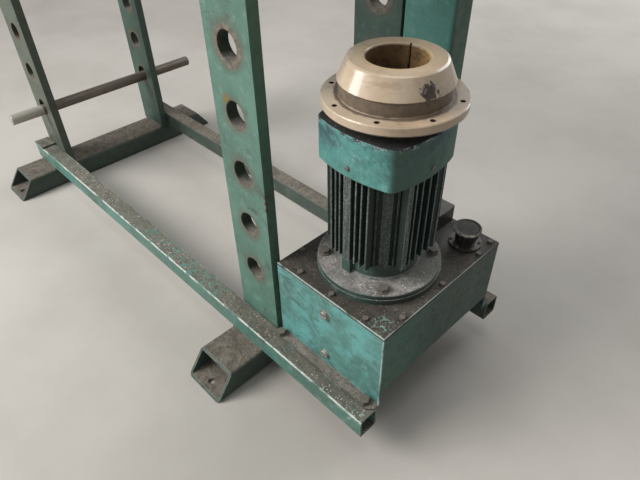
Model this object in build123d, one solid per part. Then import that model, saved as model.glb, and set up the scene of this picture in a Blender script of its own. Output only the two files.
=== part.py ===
from build123d import *
import os
from math import acos, cos, degrees, pi, radians, sin, tan

# Hydraulic workshop press in millimetres. Z is up from the floor, X runs along the press to the
# power pack, Y runs from the front to the back. The origin is on the floor, midway between the uprights.

# Uprights: four flat bars, each with a row of pin holes
upright_width = 150.0
upright_thickness = 28.0
upright_top = 2130.0
upright_spacing = 1337.0
frame_depth = 477.0
pin_hole_diameter = 63.0
pin_hole_pitch = 148.7
pin_hole_count = 9
first_hole_above_rail = 176.6

# Feet: rectangular tube from front to back, with sloping ends and an anchor hole at each tip
foot_width = 140.0
foot_height = 80.0
foot_wall = 8.0
foot_length = 925.0
foot_end_slope = 60.0
foot_corner_radius = 12.0
anchor_hole_diameter = 18.0
anchor_hole_inset = 29.0

# Rails: thin square tube along the front and the back, standing on the feet
rail_depth = 57.0
rail_height = 62.0
rail_wall = 4.0
rail_corner_radius = 6.0
rail_left_overhang = 11.0
rail_right_overhang = 3.0
rail_pad_thickness = 8.0
rail_pad_length = 75.0
rail_pad_overhang = 2.5
rail_pad_chamfer = 1.0

# Clearances that the fits use, and how far a cut runs past a face
rest_gap = 0.2
sliding_gap = 0.3
running_gap = 0.05
bolt_hole_gap = 0.5
bolt_end_gap = 4.0
cut_past = 1.0

# Loose bar in the lowest left holes, and the two pins that carry the bed
support_bar_diameter = 40.0
support_bar_front_reach = 132.0
support_bar_length = 810.0
support_bar_chamfer = 1.5
bed_pin_diameter = 60.0
bed_pin_reach = 30.0
bed_pin_head_diameter = 80.0
bed_pin_head_thickness = 12.0
bed_pin_level = 5

# Bed: two channels and four spacers
bed_channel_height = 200.0
bed_channel_flange = 75.0
bed_channel_web = 8.5
bed_channel_flange_thickness = 11.5
bed_overhang = 71.5
bed_side_gap = 3.0
bed_spacer_thickness = 15.0
bed_end_spacer_inset = 20.0
bed_spacer_gap = 70.0
bed_spacer_margin = 12.0

# Head: two channels bolted between the uprights, with a plate that carries the cylinder
head_channel_height = 240.0
head_channel_flange = 85.0
head_channel_web = 9.5
head_channel_flange_thickness = 13.0
head_overhang = 75.0
head_below_top = 40.0
channel_root_radius = 10.0
head_bolt_diameter = 24.0
head_bolt_across_flats = 36.0
head_bolt_head = 15.0
head_bolt_nut = 19.0
head_bolt_tail = 4.0
head_bolt_spacing_x = 90.0
head_bolt_spacing_z = 130.0
cylinder_plate_length = 320.0
cylinder_plate_thickness = 30.0

# Cylinder and ram
barrel_outer_diameter = 200.0
barrel_bore = 160.0
barrel_length = 380.0
barrel_flange_diameter = 270.0
barrel_flange_thickness = 30.0
barrel_port_diameter = 10.0
retract_port_rise = 30.0
port_face_diameter = 26.0
port_face_depth = 2.5
cylinder_bolt_diameter = 16.0
cylinder_bolt_count = 8
cylinder_bolt_circle_diameter = 236.0
cylinder_bolt_across_flats = 24.0
cylinder_bolt_head = 10.0
gland_height = 45.0
gland_lip = 10.0
gland_lip_height = 8.0
cap_height = 40.0
cap_bore = 60.0
cap_chamfer = 5.0
ram_diameter = 110.0
ram_stroke = 250.0
ram_stick_out = 45.0
piston_height = 60.0
piston_stop_gap = 6.0
piston_seat_depth = 12.0
seal_width = 8.0
seal_depth = 6.0
nose_diameter = 130.0
nose_height = 35.0
nose_socket_depth = 15.0
nose_socket_wall = 30.0
nose_crown_radius = 4.0

# Oil tank: welded sheet, with a skirt and a flange on each rail
tank_length = 349.0
tank_floor = 194.0
tank_top = 390.0
tank_sheet = 5.0
tank_gap = 13.3
tank_front_set_back = 8.1
tank_back_set_back = 16.9
tank_flange_on_rail = 21.9
tank_flange_chamfer = 14.0
lid_thickness = 5.0
lid_screw_diameter = 8.0
lid_screw_across_flats = 13.0
lid_screw_head = 5.5
lid_screw_inset = 16.0
lid_screw_side_inset = 12.0
lid_screw_front_places = (68.0, 174.0, 281.0)
lid_screw_back_places = (20.0, 228.0, 332.0)
lid_screw_side_places = (75.5, 226.0, 376.5)
flange_bolt_diameter = 12.0
flange_bolt_across_flats = 22.0
flange_bolt_head = 10.0
flange_bolt_washer = 25.0
flange_bolt_washer_thickness = 3.0
flange_bolt_length = 26.0
flange_bolt_from_left = 15.0
flange_bolt_from_right = 29.0
flange_bolt_from_edge = 11.6
tank_plug_diameter = 22.0
tank_plug_head = 6.0
tank_plug_washer = 27.0
tank_plug_washer_thickness = 2.0
tank_plug_shank = 14.0
tank_plug_reach = 12.0
tank_plug_slot = 3.0
tank_plug_slot_depth = 2.5
tank_plug_edge = 1.5
tank_plug_heights = (183.0, 329.0)
tank_plug_from_left = 168.5

# Filler and breather
filler_from_right = 63.5
filler_from_back = 60.0
filler_flange_diameter = 83.0
filler_flange_thickness = 5.0
filler_neck_diameter = 46.0
filler_neck_height = 36.0
filler_wall = 3.0
filler_basket_depth = 90.0
filler_cap_diameter = 72.0
filler_cap_height = 8.0
filler_cap_edge = 2.0
filler_cap_rim = 4.0
filler_cap_dish = 1.5
filler_cap_skirt_diameter = 54.0
filler_cap_skirt = 28.0
filler_screw_count = 6
filler_screw_circle_diameter = 72.0
filler_screw_head_diameter = 9.0
filler_screw_top_diameter = 8.0
filler_screw_side = 2.5
filler_screw_head = 3.5
filler_lug_count = 3
filler_lug_width = 12.0
filler_lug_reach = 3.5
filler_lug_height = 18.0
filler_lug_angle = 20.0

# Motor, flange mounted upright on the lid
motor_from_tank_left = 173.2
motor_from_tank_front = 183.4
mount_ring_diameter = 305.0
mount_ring_thickness = 14.0
mount_ring_bore = 230.0
motor_flange_diameter = 302.0
motor_flange_thickness = 13.0
motor_bolt_circle_diameter = 265.0
motor_bolt_diameter = 12.0
motor_bolt_across_flats = 21.0
motor_bolt_head = 9.0
motor_bolt_washer = 29.0
motor_bolt_washer_thickness = 3.0
motor_flange_edge = 2.0
motor_neck_fillet = 6.0
motor_rib_margin = 2.0
motor_rib_overlap = 5.0
shaft_hole_gap = 1.0
motor_neck_diameter = 190.0
motor_neck_height = 38.0
frame_height = 252.0
frame_core_diameter = 184.0
frame_bore = 156.0
fin_thickness = 3.6
fin_root_thickness = 5.0
fin_tip_distance = 106.0
front_fin_places = (-60.0, -47.0, -34.5, 12.0, 28.0, 46.0)
side_fin_places = (-22.0, -1.0, 24.0, 48.0, 70.0)
front_rib_place = -12.5
front_rib_width = 21.0
side_rib_place = -41.0
side_rib_width = 15.0
corner_rib_width = 21.0
corner_rib_distances = (100.0, 131.0, 131.0)
corner_fin_place = 22.0
corner_fin_distances = (99.0, 125.0, 125.0)
cowl_lug_width = 22.0
stator_bore = 100.0
stator_length = 150.0
slot_depth = 4.0
winding_overhang = 24.0
winding_gap = 5.0
rotor_air_gap = 0.5
shaft_diameter = 38.0
shaft_extension = 62.0
bearing_outer_diameter = 80.0
bearing_width = 18.0
rear_shield_height = 16.0
rear_shield_diameter = 180.0
rear_shield_hub_wall = 8.0
rear_shield_hub_top = 4.0
fan_clearance = 8.0
cowl_corner = 103.0
cowl_face_distance = 120.0
cowl_corner_radius = 22.0
cowl_sheet = 2.0
cowl_height = 95.0
cowl_overlap = 12.4
cowl_slot_count = 12
cowl_slot_length = 36.0
cowl_slot_width = 7.0
cowl_slot_circle_diameter = 96.0
cowl_screw_diameter = 6.0
cowl_screw_head_diameter = 11.0
cowl_screw_head = 3.5
cowl_screw_edge = 1.2
fan_diameter = 170.0
fan_hub_diameter = 60.0
fan_blade_count = 8
fan_blade_height = 28.0
fan_blade_thickness = 4.0
fan_plate = 4.0
fan_blade_margin = 3.0
terminal_box_width = 100.0
terminal_box_depth = 50.0
terminal_box_height = 96.0
terminal_box_lid = 8.0
terminal_box_level = 30.0
terminal_box_groove = 1.5
terminal_box_radius = 10.0
gland_nut_diameter = 30.0
gland_nut_length = 16.0
gland_dome_length = 14.0
gland_bore = 12.0
gland_depth = 2.0

# Flanged ring that stands on the cowl
ring_shift_x = 0.9
ring_shift_y = 13.5
ring_flange_diameter = 298.0
ring_flange_thickness = 22.0
ring_spigot_diameter = 214.0
ring_spigot_height = 22.0
ring_neck_diameter = 228.0
ring_neck_height = 29.0
ring_cone_diameter = 234.0
ring_top_diameter = 194.0
ring_cone_height = 45.0
ring_bore = 124.0
ring_flange_round = 5.0
ring_edge = 2.0
ring_cone_edge = 2.5
ring_mouth = 3.0
ring_key_width = 5.0
ring_key_depth = 5.0
ring_key_angle = 106.0
ring_hole_count = 8
ring_hole_circle_diameter = 267.0
ring_hole_diameter = 11.0
ring_first_hole_angle = 25.5

# Pump inside the tank
carrier_flange_diameter = 226.0
carrier_diameter = 130.0
carrier_wall = 8.0
carrier_floor = 10.0
carrier_depth = 112.0
carrier_window = 50.0
carrier_window_margin = 30.0
carrier_flange = 6.0
carrier_bore_gap = 4.0
coupling_diameter = 76.0
motor_coupling_length = 34.0
spider_length = 12.0
pump_coupling_length = 26.0
claw_count = 3
claw_angle = 40.0
claw_inner_diameter = 41.8
spider_core_diameter = 38.0
spider_arm_angle = 18.0
pump_shaft_diameter = 18.0
pump_width = 92.0
pump_side = 60.0
pump_back_plate = 8.0
pump_cover_thickness = 12.0
pump_journal = 5.0
pump_corner_radius = 8.0
gear_module = 3.0
gear_teeth = 12
gear_width = 26.0
gear_backlash = 0.35
gear_addendum = 0.9
gear_dedendum = 1.2
gear_pressure_angle = 25.0
gear_tip_gap = 0.3
gear_end_gap = 0.3
strainer_diameter = 54.0
strainer_length = 70.0
strainer_cap = 5.0
suction_diameter = 28.0
suction_wall = 3.0
suction_length = 24.0
strainer_bead = 2.0

# Manifold on the lid and the pipes
manifold_length = 165.0
manifold_depth = 72.0
manifold_height = 46.0
manifold_chamfer = 3.0
manifold_cross_wall = 12.0
manifold_port_depth = 18.0
manifold_from_left = 43.0
manifold_from_back = 2.0
pipe_diameter = 16.0
pipe_wall = 2.5
pipe_bend = 32.0
riser_spacing = 40.0

# Control column beside the back right upright
column_width = 142.0
column_depth = 62.3
column_gap = 3.7
column_sheet = 3.0
column_bottom = 520.0
column_top = 1440.0
column_bend_radius = 10.0
column_lip = 14.0
column_bolt_diameter = 8.0
column_bolt_head_diameter = 13.0
column_bolt_head = 6.0
column_bolt_depth = 20.0
column_bolt_set_back = 3.0
column_spacer_diameter = 15.0
column_bolt_levels = (560.0, 985.0, 1410.0)

# Hand valve on the column
valve_level = 1330.0
valve_width = 96.0
valve_depth = 70.0
valve_height = 100.0
valve_edge_radius = 6.0
spool_diameter = 18.0
spool_neck_diameter = 10.0
spool_collar_diameter = 18.0
spool_collar = 4.0
spool_inner_neck = 15.0
spool_end_wall = 12.0
spool_end_gap = 2.0
spool_groove = 10.0
spool_groove_places = (0.3, 0.6)
spool_travel_gap = 3.0
lever_arm = 30.0
lever_swing = 15.0
lever_thickness = 8.0
lever_below_pin = 10.0
lever_above_slot = 8.0
lever_corner_radius = 6.0
lever_slot_gap = 1.0
lever_slot_extra = 3.0
lever_width = 24.0
lever_length = 230.0
lever_rod_diameter = 12.0
lever_pin_diameter = 8.0
knob_diameter = 36.0
bracket_thickness = 6.0
bracket_gap = 1.0
ear_margin = 7.0

# Start and stop buttons
switch_width = 80.0
switch_depth = 55.0
switch_height = 110.0
switch_level = 1040.0
switch_edge_radius = 5.0
switch_wall = 4.0
button_diameter = 24.0
stop_button_diameter = 32.0
button_reach = 10.0
button_edge_radius = 3.0
button_travel = 4.0
button_stem_diameter = 16.0
button_stem_length = 18.0
button_spacing = 48.0

# Pressure gauge above the switches
gauge_level = 1180.0
gauge_diameter = 90.0
gauge_depth = 34.0
gauge_wall = 3.0
gauge_rim = 5.0
gauge_dial = 2.0
gauge_rim_width = 4.0
gauge_spindle_height = 4.0
gauge_glass_depth = 3.0
gauge_glass = 2.0
gauge_spindle_diameter = 5.0
gauge_pointer_length = 32.0
gauge_pointer_tail = 12.0
gauge_pointer_width = 4.0
gauge_pointer_thickness = 1.2
gauge_pointer_tip = 1.0
gauge_pointer_hub = 3.0
gauge_start_angle = 225.0

# Heights and places that follow from the sizes above
rail_top = foot_height + rail_height
bed_length = upright_spacing + 2 * bed_overhang
head_length = upright_spacing + 2 * head_overhang
half_spacing = upright_spacing / 2
upright_y = frame_depth / 2 - upright_thickness / 2
inner_face = frame_depth / 2 - upright_thickness
rail_y = frame_depth / 2 + rail_depth / 2
rail_left = -half_spacing - upright_width / 2 - rail_left_overhang
upright_right = half_spacing + upright_width / 2
tank_left = upright_right + tank_gap
tank_right = tank_left + tank_length
tank_front = -frame_depth / 2 + tank_front_set_back
tank_back = frame_depth / 2 - tank_back_set_back
flange_edge = frame_depth / 2 + tank_flange_on_rail
rail_right = tank_right + rail_right_overhang
lid_bottom = tank_top - lid_thickness
motor_x = tank_left + motor_from_tank_left
motor_y = tank_front + motor_from_tank_front
motor_seat = tank_top + mount_ring_thickness
motor_flange_top = motor_seat + motor_flange_thickness
frame_bottom = motor_flange_top + motor_neck_height
frame_top = frame_bottom + frame_height
rear_shield_top = frame_top + rear_shield_height
cowl_bottom = frame_top - cowl_overlap
cowl_top = cowl_bottom + cowl_height
ring_x = motor_x + ring_shift_x
ring_y = motor_y + ring_shift_y
shaft_bottom = motor_seat - shaft_extension
motor_coupling_bottom = shaft_bottom - bolt_hole_gap
spider_bottom = motor_coupling_bottom - spider_length
pump_coupling_bottom = spider_bottom - pump_coupling_length
carrier_bottom = lid_bottom - carrier_depth
gear_top = carrier_bottom - pump_back_plate - gear_end_gap
gear_bottom = gear_top - gear_width
pump_bottom = gear_bottom - gear_end_gap
gear_distance = gear_module * gear_teeth
manifold_x = tank_left + manifold_from_left + manifold_length / 2
manifold_y = tank_back - manifold_from_back - manifold_depth / 2
manifold_top = tank_top + manifold_height
column_left = upright_right + column_gap
column_front = inner_face
column_x = column_left + column_width / 2
column_back = column_front + column_depth
riser_y = column_back - column_depth / 2
column_bolt_y = upright_y + column_bolt_set_back
filler_x = tank_right - filler_from_right
filler_y = tank_back - filler_from_back
head_top = upright_top - head_below_top
head_bottom = head_top - head_channel_height
head_middle = head_top - head_channel_height / 2
plate_bottom = head_bottom - cylinder_plate_thickness
barrel_bottom = plate_bottom - barrel_flange_thickness
barrel_top = barrel_bottom + barrel_length
piston_top = barrel_top - piston_stop_gap
piston_bottom = piston_top - piston_height
ram_bottom = barrel_bottom - ram_stick_out
nose_bottom = ram_bottom + nose_socket_depth - nose_height


def pin_hole_height(level):
    """The height of a pin hole's centre above the floor."""
    return rail_top + first_hole_above_rail + level * pin_hole_pitch


bed_pin_z = pin_hole_height(bed_pin_level) - (pin_hole_diameter - bed_pin_diameter) / 2 + rest_gap
support_bar_z = pin_hole_height(0) - (pin_hole_diameter - support_bar_diameter) / 2 + rest_gap
bed_bottom = bed_pin_z + bed_pin_diameter / 2 + rest_gap
bed_top = bed_bottom + bed_channel_height


def block(x0, x1, y0, y1, z0, z1):
    """A rectangular solid between two corners."""
    middle = Pos((x0 + x1) / 2, (y0 + y1) / 2, (z0 + z1) / 2)
    return middle * Box(x1 - x0, y1 - y0, z1 - z0)


def upright_rod(x, y, z0, z1, diameter):
    """A round bar standing on end."""
    return Pos(x, y, (z0 + z1) / 2) * Cylinder(diameter / 2, z1 - z0)


def rod_along_y(x, z, y0, y1, diameter):
    """A round bar lying from front to back."""
    return Pos(x, (y0 + y1) / 2, z) * Rot(90, 0, 0) * Cylinder(diameter / 2, y1 - y0)


def rod_along_x(y, z, x0, x1, diameter):
    """A round bar lying along the press."""
    return Pos((x0 + x1) / 2, y, z) * Rot(0, 90, 0) * Cylinder(diameter / 2, x1 - x0)


def hexagon(x, y, z0, z1, across_flats):
    """A hexagon head or nut standing on end."""
    face = RegularPolygon(across_flats / 2, 6, major_radius=False)
    return Pos(x, y, z0) * extrude(face, z1 - z0)


def turned(*outline):
    """A solid of revolution about Z from its radius and height points."""
    face = Plane.XZ * make_face(Polyline(*outline, close=True))
    return revolve(face, Axis.Z)


def polar(radius, angle):
    """The x and y of a point at a radius and an angle in degrees."""
    return radius * cos(radians(angle)), radius * sin(radians(angle))


def pipe(*points, diameter=pipe_diameter, wall=pipe_wall, bend=pipe_bend):
    """A bent steel pipe along straight runs joined by round bends."""
    path = FilletPolyline(*points, radius=bend)
    section = Circle(diameter / 2) - Circle(diameter / 2 - wall)
    return sweep(Plane(path @ 0, z_dir=path % 0) * section, path=path)


def channel(length, height, flange, web, flange_thickness, side):
    """A rolled channel along X with its web outside and its flanges towards the middle."""
    outer = Rectangle(flange, height)
    inner = Pos(web / 2, 0) * Rectangle(flange - web, height - 2 * flange_thickness)
    section = outer - inner
    roots = [v for v in section.vertices() if abs(v.X + flange / 2 - web) < rest_gap]
    roots = [v for v in roots if abs(v.Y) < height / 2 - rest_gap]
    section = fillet(roots, channel_root_radius)
    bar = extrude(Plane(origin=(-length / 2, 0, 0), x_dir=(0, 1, 0), z_dir=(1, 0, 0)) * section, length)
    return bar if side < 0 else Rot(0, 0, 180) * bar


# Frame

head_bolt_places = [
    (x, head_middle + z)
    for x in (-head_bolt_spacing_x / 2, head_bolt_spacing_x / 2)
    for z in (-head_bolt_spacing_z / 2, head_bolt_spacing_z / 2)
]


def make_upright(side_x, side_y):
    """A flat bar that stands on a foot, with its pin holes and the head's bolt holes."""
    bar = block(
        -upright_width / 2, upright_width / 2,
        -upright_thickness / 2, upright_thickness / 2,
        foot_height, upright_top,
    )
    for level in range(pin_hole_count):
        height = pin_hole_height(level)
        bar -= rod_along_y(0, height, -upright_thickness, upright_thickness, pin_hole_diameter)
    for x, z in head_bolt_places:
        hole = head_bolt_diameter + 2 * bolt_hole_gap
        bar -= rod_along_y(x, z, -upright_thickness, upright_thickness, hole)
    if side_x > 0 and side_y > 0:
        for level in column_bolt_levels:
            edge = upright_width / 2
            bar -= rod_along_x(
                column_bolt_set_back, level, edge - column_bolt_depth, edge, column_bolt_diameter
            )
    return Pos(side_x * half_spacing, side_y * upright_y, 0) * bar


def make_foot(side_x):
    """A tube across the press whose ends slope, so that its lower wall carries the anchor holes."""
    outer = RectangleRounded(foot_width, foot_height, foot_corner_radius)
    inner = RectangleRounded(
        foot_width - 2 * foot_wall, foot_height - 2 * foot_wall, foot_corner_radius - foot_wall
    )
    start = Plane(origin=(0, -foot_length / 2, foot_height / 2), x_dir=(1, 0, 0), z_dir=(0, 1, 0))
    tube = extrude(start * (outer - inner), foot_length)
    half = foot_length / 2
    side_view = Polyline(
        (-half, 0), (half, 0), (half - foot_end_slope, foot_height),
        (foot_end_slope - half, foot_height), close=True,
    )
    keep = extrude(Plane.YZ * make_face(side_view), foot_width, both=True)
    tube &= keep
    for end in (-1, 1):
        y = end * (half - anchor_hole_inset)
        tube -= upright_rod(0, y, -foot_wall, 2 * foot_wall, anchor_hole_diameter)
    return Pos(side_x * half_spacing, 0, 0) * tube


flange_bolt_x = (tank_left + flange_bolt_from_left, tank_right - flange_bolt_from_right)
flange_bolt_y = flange_edge - flange_bolt_from_edge


def make_rail(side_y):
    """A thin square tube standing on the feet, drilled for the tank's flange."""
    outer = RectangleRounded(rail_depth, rail_height, rail_corner_radius)
    inner = RectangleRounded(
        rail_depth - 2 * rail_wall, rail_height - 2 * rail_wall, rail_corner_radius - rail_wall
    )
    middle = foot_height + rail_height / 2
    start = Plane(origin=(rail_left, side_y * rail_y, middle), x_dir=(0, 1, 0), z_dir=(1, 0, 0))
    tube = extrude(start * (outer - inner), rail_right - rail_left)
    for x in flange_bolt_x:
        hole = flange_bolt_diameter + 2 * bolt_hole_gap
        tube -= upright_rod(x, side_y * flange_bolt_y, rail_top - 2 * rail_wall, rail_top + rail_wall, hole)
    return tube


def make_rail_pad():
    """A plate on the front rail's left end, in front of the upright."""
    left = rail_left - rail_pad_overhang
    front = -frame_depth / 2 - rail_depth - rail_pad_overhang
    pad = block(
        left, left + rail_pad_length, front, -frame_depth / 2, rail_top, rail_top + rail_pad_thickness
    )
    return chamfer(pad.faces().sort_by(Axis.Z)[-1].edges(), rail_pad_chamfer)


def make_support_bar():
    """The loose round bar that lies in the lowest holes of the left uprights."""
    start = -frame_depth / 2 - support_bar_front_reach
    bar = rod_along_y(-half_spacing, support_bar_z, start, start + support_bar_length, support_bar_diameter)
    return chamfer(bar.edges().filter_by(GeomType.CIRCLE), support_bar_chamfer)


def make_bed_pin(side_x):
    """One headed pin through the front and back uprights, under the bed."""
    front = -frame_depth / 2
    x = side_x * half_spacing
    pin = rod_along_y(x, bed_pin_z, front - rest_gap, frame_depth / 2 + bed_pin_reach, bed_pin_diameter)
    head_back = front - rest_gap
    pin += rod_along_y(x, bed_pin_z, head_back - bed_pin_head_thickness, head_back, bed_pin_head_diameter)
    return pin


def make_bed_channel(side_y):
    """One of the two channels of the bed."""
    bar = channel(
        bed_length, bed_channel_height, bed_channel_flange, bed_channel_web,
        bed_channel_flange_thickness, side_y,
    )
    y = side_y * (inner_face - bed_side_gap - bed_channel_flange / 2)
    return Pos(0, y, (bed_bottom + bed_top) / 2) * bar


def make_bed():
    """The welded bed: two channels with four plates between their webs."""
    web = inner_face - bed_side_gap - bed_channel_web
    low = bed_bottom + bed_channel_flange_thickness + bed_spacer_margin
    high = bed_top - bed_channel_flange_thickness - bed_spacer_margin
    plates = [make_bed_channel(-1), make_bed_channel(1)]
    for side in (-1, 1):
        end = bed_length / 2 - bed_end_spacer_inset
        for reach in (end, half_spacing - upright_width / 2 - bed_spacer_gap):
            x = side * reach
            half = bed_spacer_thickness / 2
            plates.append(block(x - half, x + half, -web, web, low, high))
    return Compound(children=plates)


# Head, cylinder and ram

cylinder_bolt_places = [
    polar(cylinder_bolt_circle_diameter / 2, 360 * (n + 0.5) / cylinder_bolt_count)
    for n in range(cylinder_bolt_count)
]


def make_head_channel(side_y):
    """One of the two channels of the head, drilled for its bolts."""
    bar = channel(
        head_length, head_channel_height, head_channel_flange, head_channel_web,
        head_channel_flange_thickness, side_y,
    )
    bar = Pos(0, side_y * (inner_face - head_channel_flange / 2), head_middle) * bar
    web = sorted((side_y * inner_face, side_y * (inner_face - 2 * head_channel_web)))
    for side_x in (-1, 1):
        for x, z in head_bolt_places:
            hole = head_bolt_diameter + 2 * bolt_hole_gap
            bar -= rod_along_y(side_x * half_spacing + x, z, web[0], web[1], hole)
    return bar


def make_head_bolts():
    """The bolts and nuts of the head's channels, and the bolts of the cylinder."""
    bolts = []
    outside = frame_depth / 2
    inside = inner_face - head_channel_web
    for side_x in (-1, 1):
        for side_y in (-1, 1):
            for x, z in head_bolt_places:
                tail = inside - head_bolt_nut - head_bolt_tail
                shank = upright_rod(0, 0, tail, outside, head_bolt_diameter)
                head = hexagon(0, 0, outside, outside + head_bolt_head, head_bolt_across_flats)
                nut = hexagon(0, 0, inside - head_bolt_nut, inside, head_bolt_across_flats)
                turn = Rot(90, 0, 0) if side_y < 0 else Rot(-90, 0, 0)
                bolts.append(Pos(side_x * half_spacing + x, 0, z) * turn * (shank + head + nut))
    return Compound(children=bolts + make_cylinder_bolts())


def make_cylinder_plate():
    """The plate under the head's channels that the cylinder's flange bears on."""
    plate = block(
        -cylinder_plate_length / 2, cylinder_plate_length / 2, -inner_face, inner_face,
        plate_bottom, head_bottom,
    )
    bore = barrel_outer_diameter + 2 * bolt_hole_gap
    plate -= upright_rod(0, 0, plate_bottom - cut_past, head_bottom + cut_past, bore)
    for x, y in cylinder_bolt_places:
        end = head_bottom - bolt_end_gap
        plate -= upright_rod(x, y, plate_bottom - cut_past, end, cylinder_bolt_diameter)
    return plate


def make_barrel():
    """The cylinder's barrel with its flange and its two oil ports."""
    outer = barrel_outer_diameter / 2
    inner = barrel_bore / 2
    flange = barrel_flange_diameter / 2
    barrel = turned(
        (inner, barrel_bottom), (flange, barrel_bottom), (flange, plate_bottom),
        (outer, plate_bottom), (outer, barrel_top), (inner, barrel_top),
    )
    for x, y in cylinder_bolt_places:
        hole = cylinder_bolt_diameter + 2 * bolt_hole_gap
        barrel -= upright_rod(x, y, barrel_bottom - cut_past, plate_bottom + cut_past, hole)
    port = rod_along_x(-riser_spacing / 2, retract_port_z, 0, outer + cut_past, barrel_port_diameter)
    seat = rod_along_x(-riser_spacing / 2, retract_port_z, port_face_x, outer + cut_past, port_face_diameter)
    return barrel - port - seat


def make_cylinder_bolts():
    """The bolts that hold the cylinder's flange up to its plate."""
    bolts = []
    for x, y in cylinder_bolt_places:
        shank = upright_rod(x, y, barrel_bottom, head_bottom - 2 * bolt_end_gap, cylinder_bolt_diameter)
        head = hexagon(x, y, barrel_bottom - cylinder_bolt_head, barrel_bottom, cylinder_bolt_across_flats)
        bolts.append(shank + head)
    return bolts


def make_gland():
    """The guide in the barrel's mouth, grooved for the rod seal."""
    bore = ram_diameter / 2 + running_gap
    outer = barrel_bore / 2
    lip = outer + gland_lip
    lip_bottom = barrel_bottom - gland_lip_height
    seal_z = barrel_bottom + gland_height / 2
    groove = bore + seal_depth
    half = seal_width / 2
    return turned(
        (bore, lip_bottom), (lip, lip_bottom), (lip, barrel_bottom),
        (outer, barrel_bottom), (outer, barrel_bottom + gland_height),
        (bore, barrel_bottom + gland_height), (bore, seal_z + half), (groove, seal_z + half),
        (groove, seal_z - half), (bore, seal_z - half),
    )


def make_rod_seal():
    """The lip seal in the gland."""
    bore = ram_diameter / 2 + running_gap
    seal_z = barrel_bottom + gland_height / 2
    half = seal_width / 2
    return turned(
        (bore, seal_z - half), (bore + seal_depth, seal_z - half),
        (bore + seal_depth, seal_z + half), (bore, seal_z + half),
    )


def make_cylinder_cap():
    """The cover on the barrel's top, with its port for the extend pipe."""
    outer = barrel_outer_diameter / 2
    top = barrel_top + cap_height
    cap = turned(
        (0, barrel_top), (outer, barrel_top), (outer, top - cap_chamfer),
        (outer - cap_chamfer, top), (0, top),
    )
    cap -= rod_along_x(riser_spacing / 2, extend_port_z, 0, outer + cut_past, barrel_port_diameter)
    cap -= rod_along_x(riser_spacing / 2, extend_port_z, port_face_x, outer + cut_past, port_face_diameter)
    cap -= upright_rod(0, 0, barrel_top - cut_past, extend_port_z + barrel_port_diameter, cap_bore)
    return cap


def make_ram():
    """The rod with its piston seat and the spigot for its nose."""
    rod = ram_diameter / 2
    seat = rod - piston_seat_depth
    spigot = nose_diameter / 2 - nose_socket_wall
    return turned(
        (0, ram_bottom), (spigot, ram_bottom), (spigot, ram_bottom + nose_socket_depth),
        (rod, ram_bottom + nose_socket_depth), (rod, piston_bottom), (seat, piston_bottom),
        (seat, piston_top), (0, piston_top),
    )


def make_piston():
    """The piston ring body, grooved for its seal."""
    outer = barrel_bore / 2 - running_gap
    inner = ram_diameter / 2 - piston_seat_depth
    middle = (piston_bottom + piston_top) / 2
    half = seal_width / 2
    groove = outer - seal_depth
    return turned(
        (inner, piston_bottom), (outer, piston_bottom), (outer, middle - half), (groove, middle - half),
        (groove, middle + half), (outer, middle + half), (outer, piston_top), (inner, piston_top),
    )


def make_piston_seal():
    """The seal in the piston's groove."""
    outer = barrel_bore / 2 - running_gap
    middle = (piston_bottom + piston_top) / 2
    half = seal_width / 2
    return turned(
        (outer - seal_depth, middle - half), (outer, middle - half),
        (outer, middle + half), (outer - seal_depth, middle + half),
    )


def make_nose():
    """The pad on the ram's end, which meets the work."""
    outer = nose_diameter / 2
    spigot = nose_diameter / 2 - nose_socket_wall
    seat = ram_bottom + nose_socket_depth
    return turned(
        (0, nose_bottom), (outer - nose_crown_radius, nose_bottom), (outer, nose_bottom + nose_crown_radius),
        (outer, seat - nose_crown_radius), (outer - nose_crown_radius, seat), (spigot, seat),
        (spigot, ram_bottom), (0, ram_bottom),
    )


# Oil tank

lid_screw_places = [
    *((tank_left + x, tank_front + lid_screw_inset) for x in lid_screw_front_places),
    *((tank_left + x, tank_back - lid_screw_inset) for x in lid_screw_back_places),
    *((tank_left + lid_screw_side_inset, tank_front + y) for y in lid_screw_side_places),
    *((tank_right - lid_screw_side_inset, tank_front + y) for y in lid_screw_side_places),
]


def make_tank():
    """The welded tank: a box of sheet with a rim, and skirts whose feet lie on the rails."""
    rim_reach = lid_screw_inset + lid_screw_across_flats
    body = block(tank_left, tank_right, tank_front, tank_back, tank_floor, lid_bottom)
    body -= block(
        tank_left + tank_sheet, tank_right - tank_sheet, tank_front + tank_sheet, tank_back - tank_sheet,
        tank_floor + tank_sheet, lid_bottom - tank_sheet,
    )
    body -= block(
        tank_left + rim_reach, tank_right - rim_reach, tank_front + rim_reach, tank_back - rim_reach,
        lid_bottom - 2 * tank_sheet, lid_bottom + cut_past,
    )
    for side_y in (-1, 1):
        face = tank_front if side_y < 0 else tank_back
        inner = face - side_y * tank_sheet
        outer = side_y * flange_edge
        skirt = sorted((face, inner))
        foot = sorted((inner, outer))
        body += block(tank_left, tank_right, skirt[0], skirt[1], rail_top, tank_floor)
        plate = block(tank_left, tank_right, foot[0], foot[1], rail_top, rail_top + tank_sheet)
        tip = [
            e for e in plate.edges().filter_by(Axis.Z)
            if abs(e.center().Y - outer) < rest_gap and e.center().X > motor_x
        ]
        body += chamfer(tip, tank_flange_chamfer)
        for x in flange_bolt_x:
            hole = flange_bolt_diameter + 2 * bolt_hole_gap
            y = side_y * flange_bolt_y
            body -= upright_rod(x, y, rail_top - cut_past, rail_top + 2 * tank_sheet, hole)
    for height in tank_plug_heights:
        hole = tank_plug_shank
        x = tank_left + tank_plug_from_left
        body -= rod_along_y(x, height, tank_front - cut_past, tank_front + tank_sheet + cut_past, hole)
    for x, y in lid_screw_places:
        body -= upright_rod(x, y, lid_bottom - tank_sheet, lid_bottom + cut_past, lid_screw_diameter)
    return body


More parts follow.
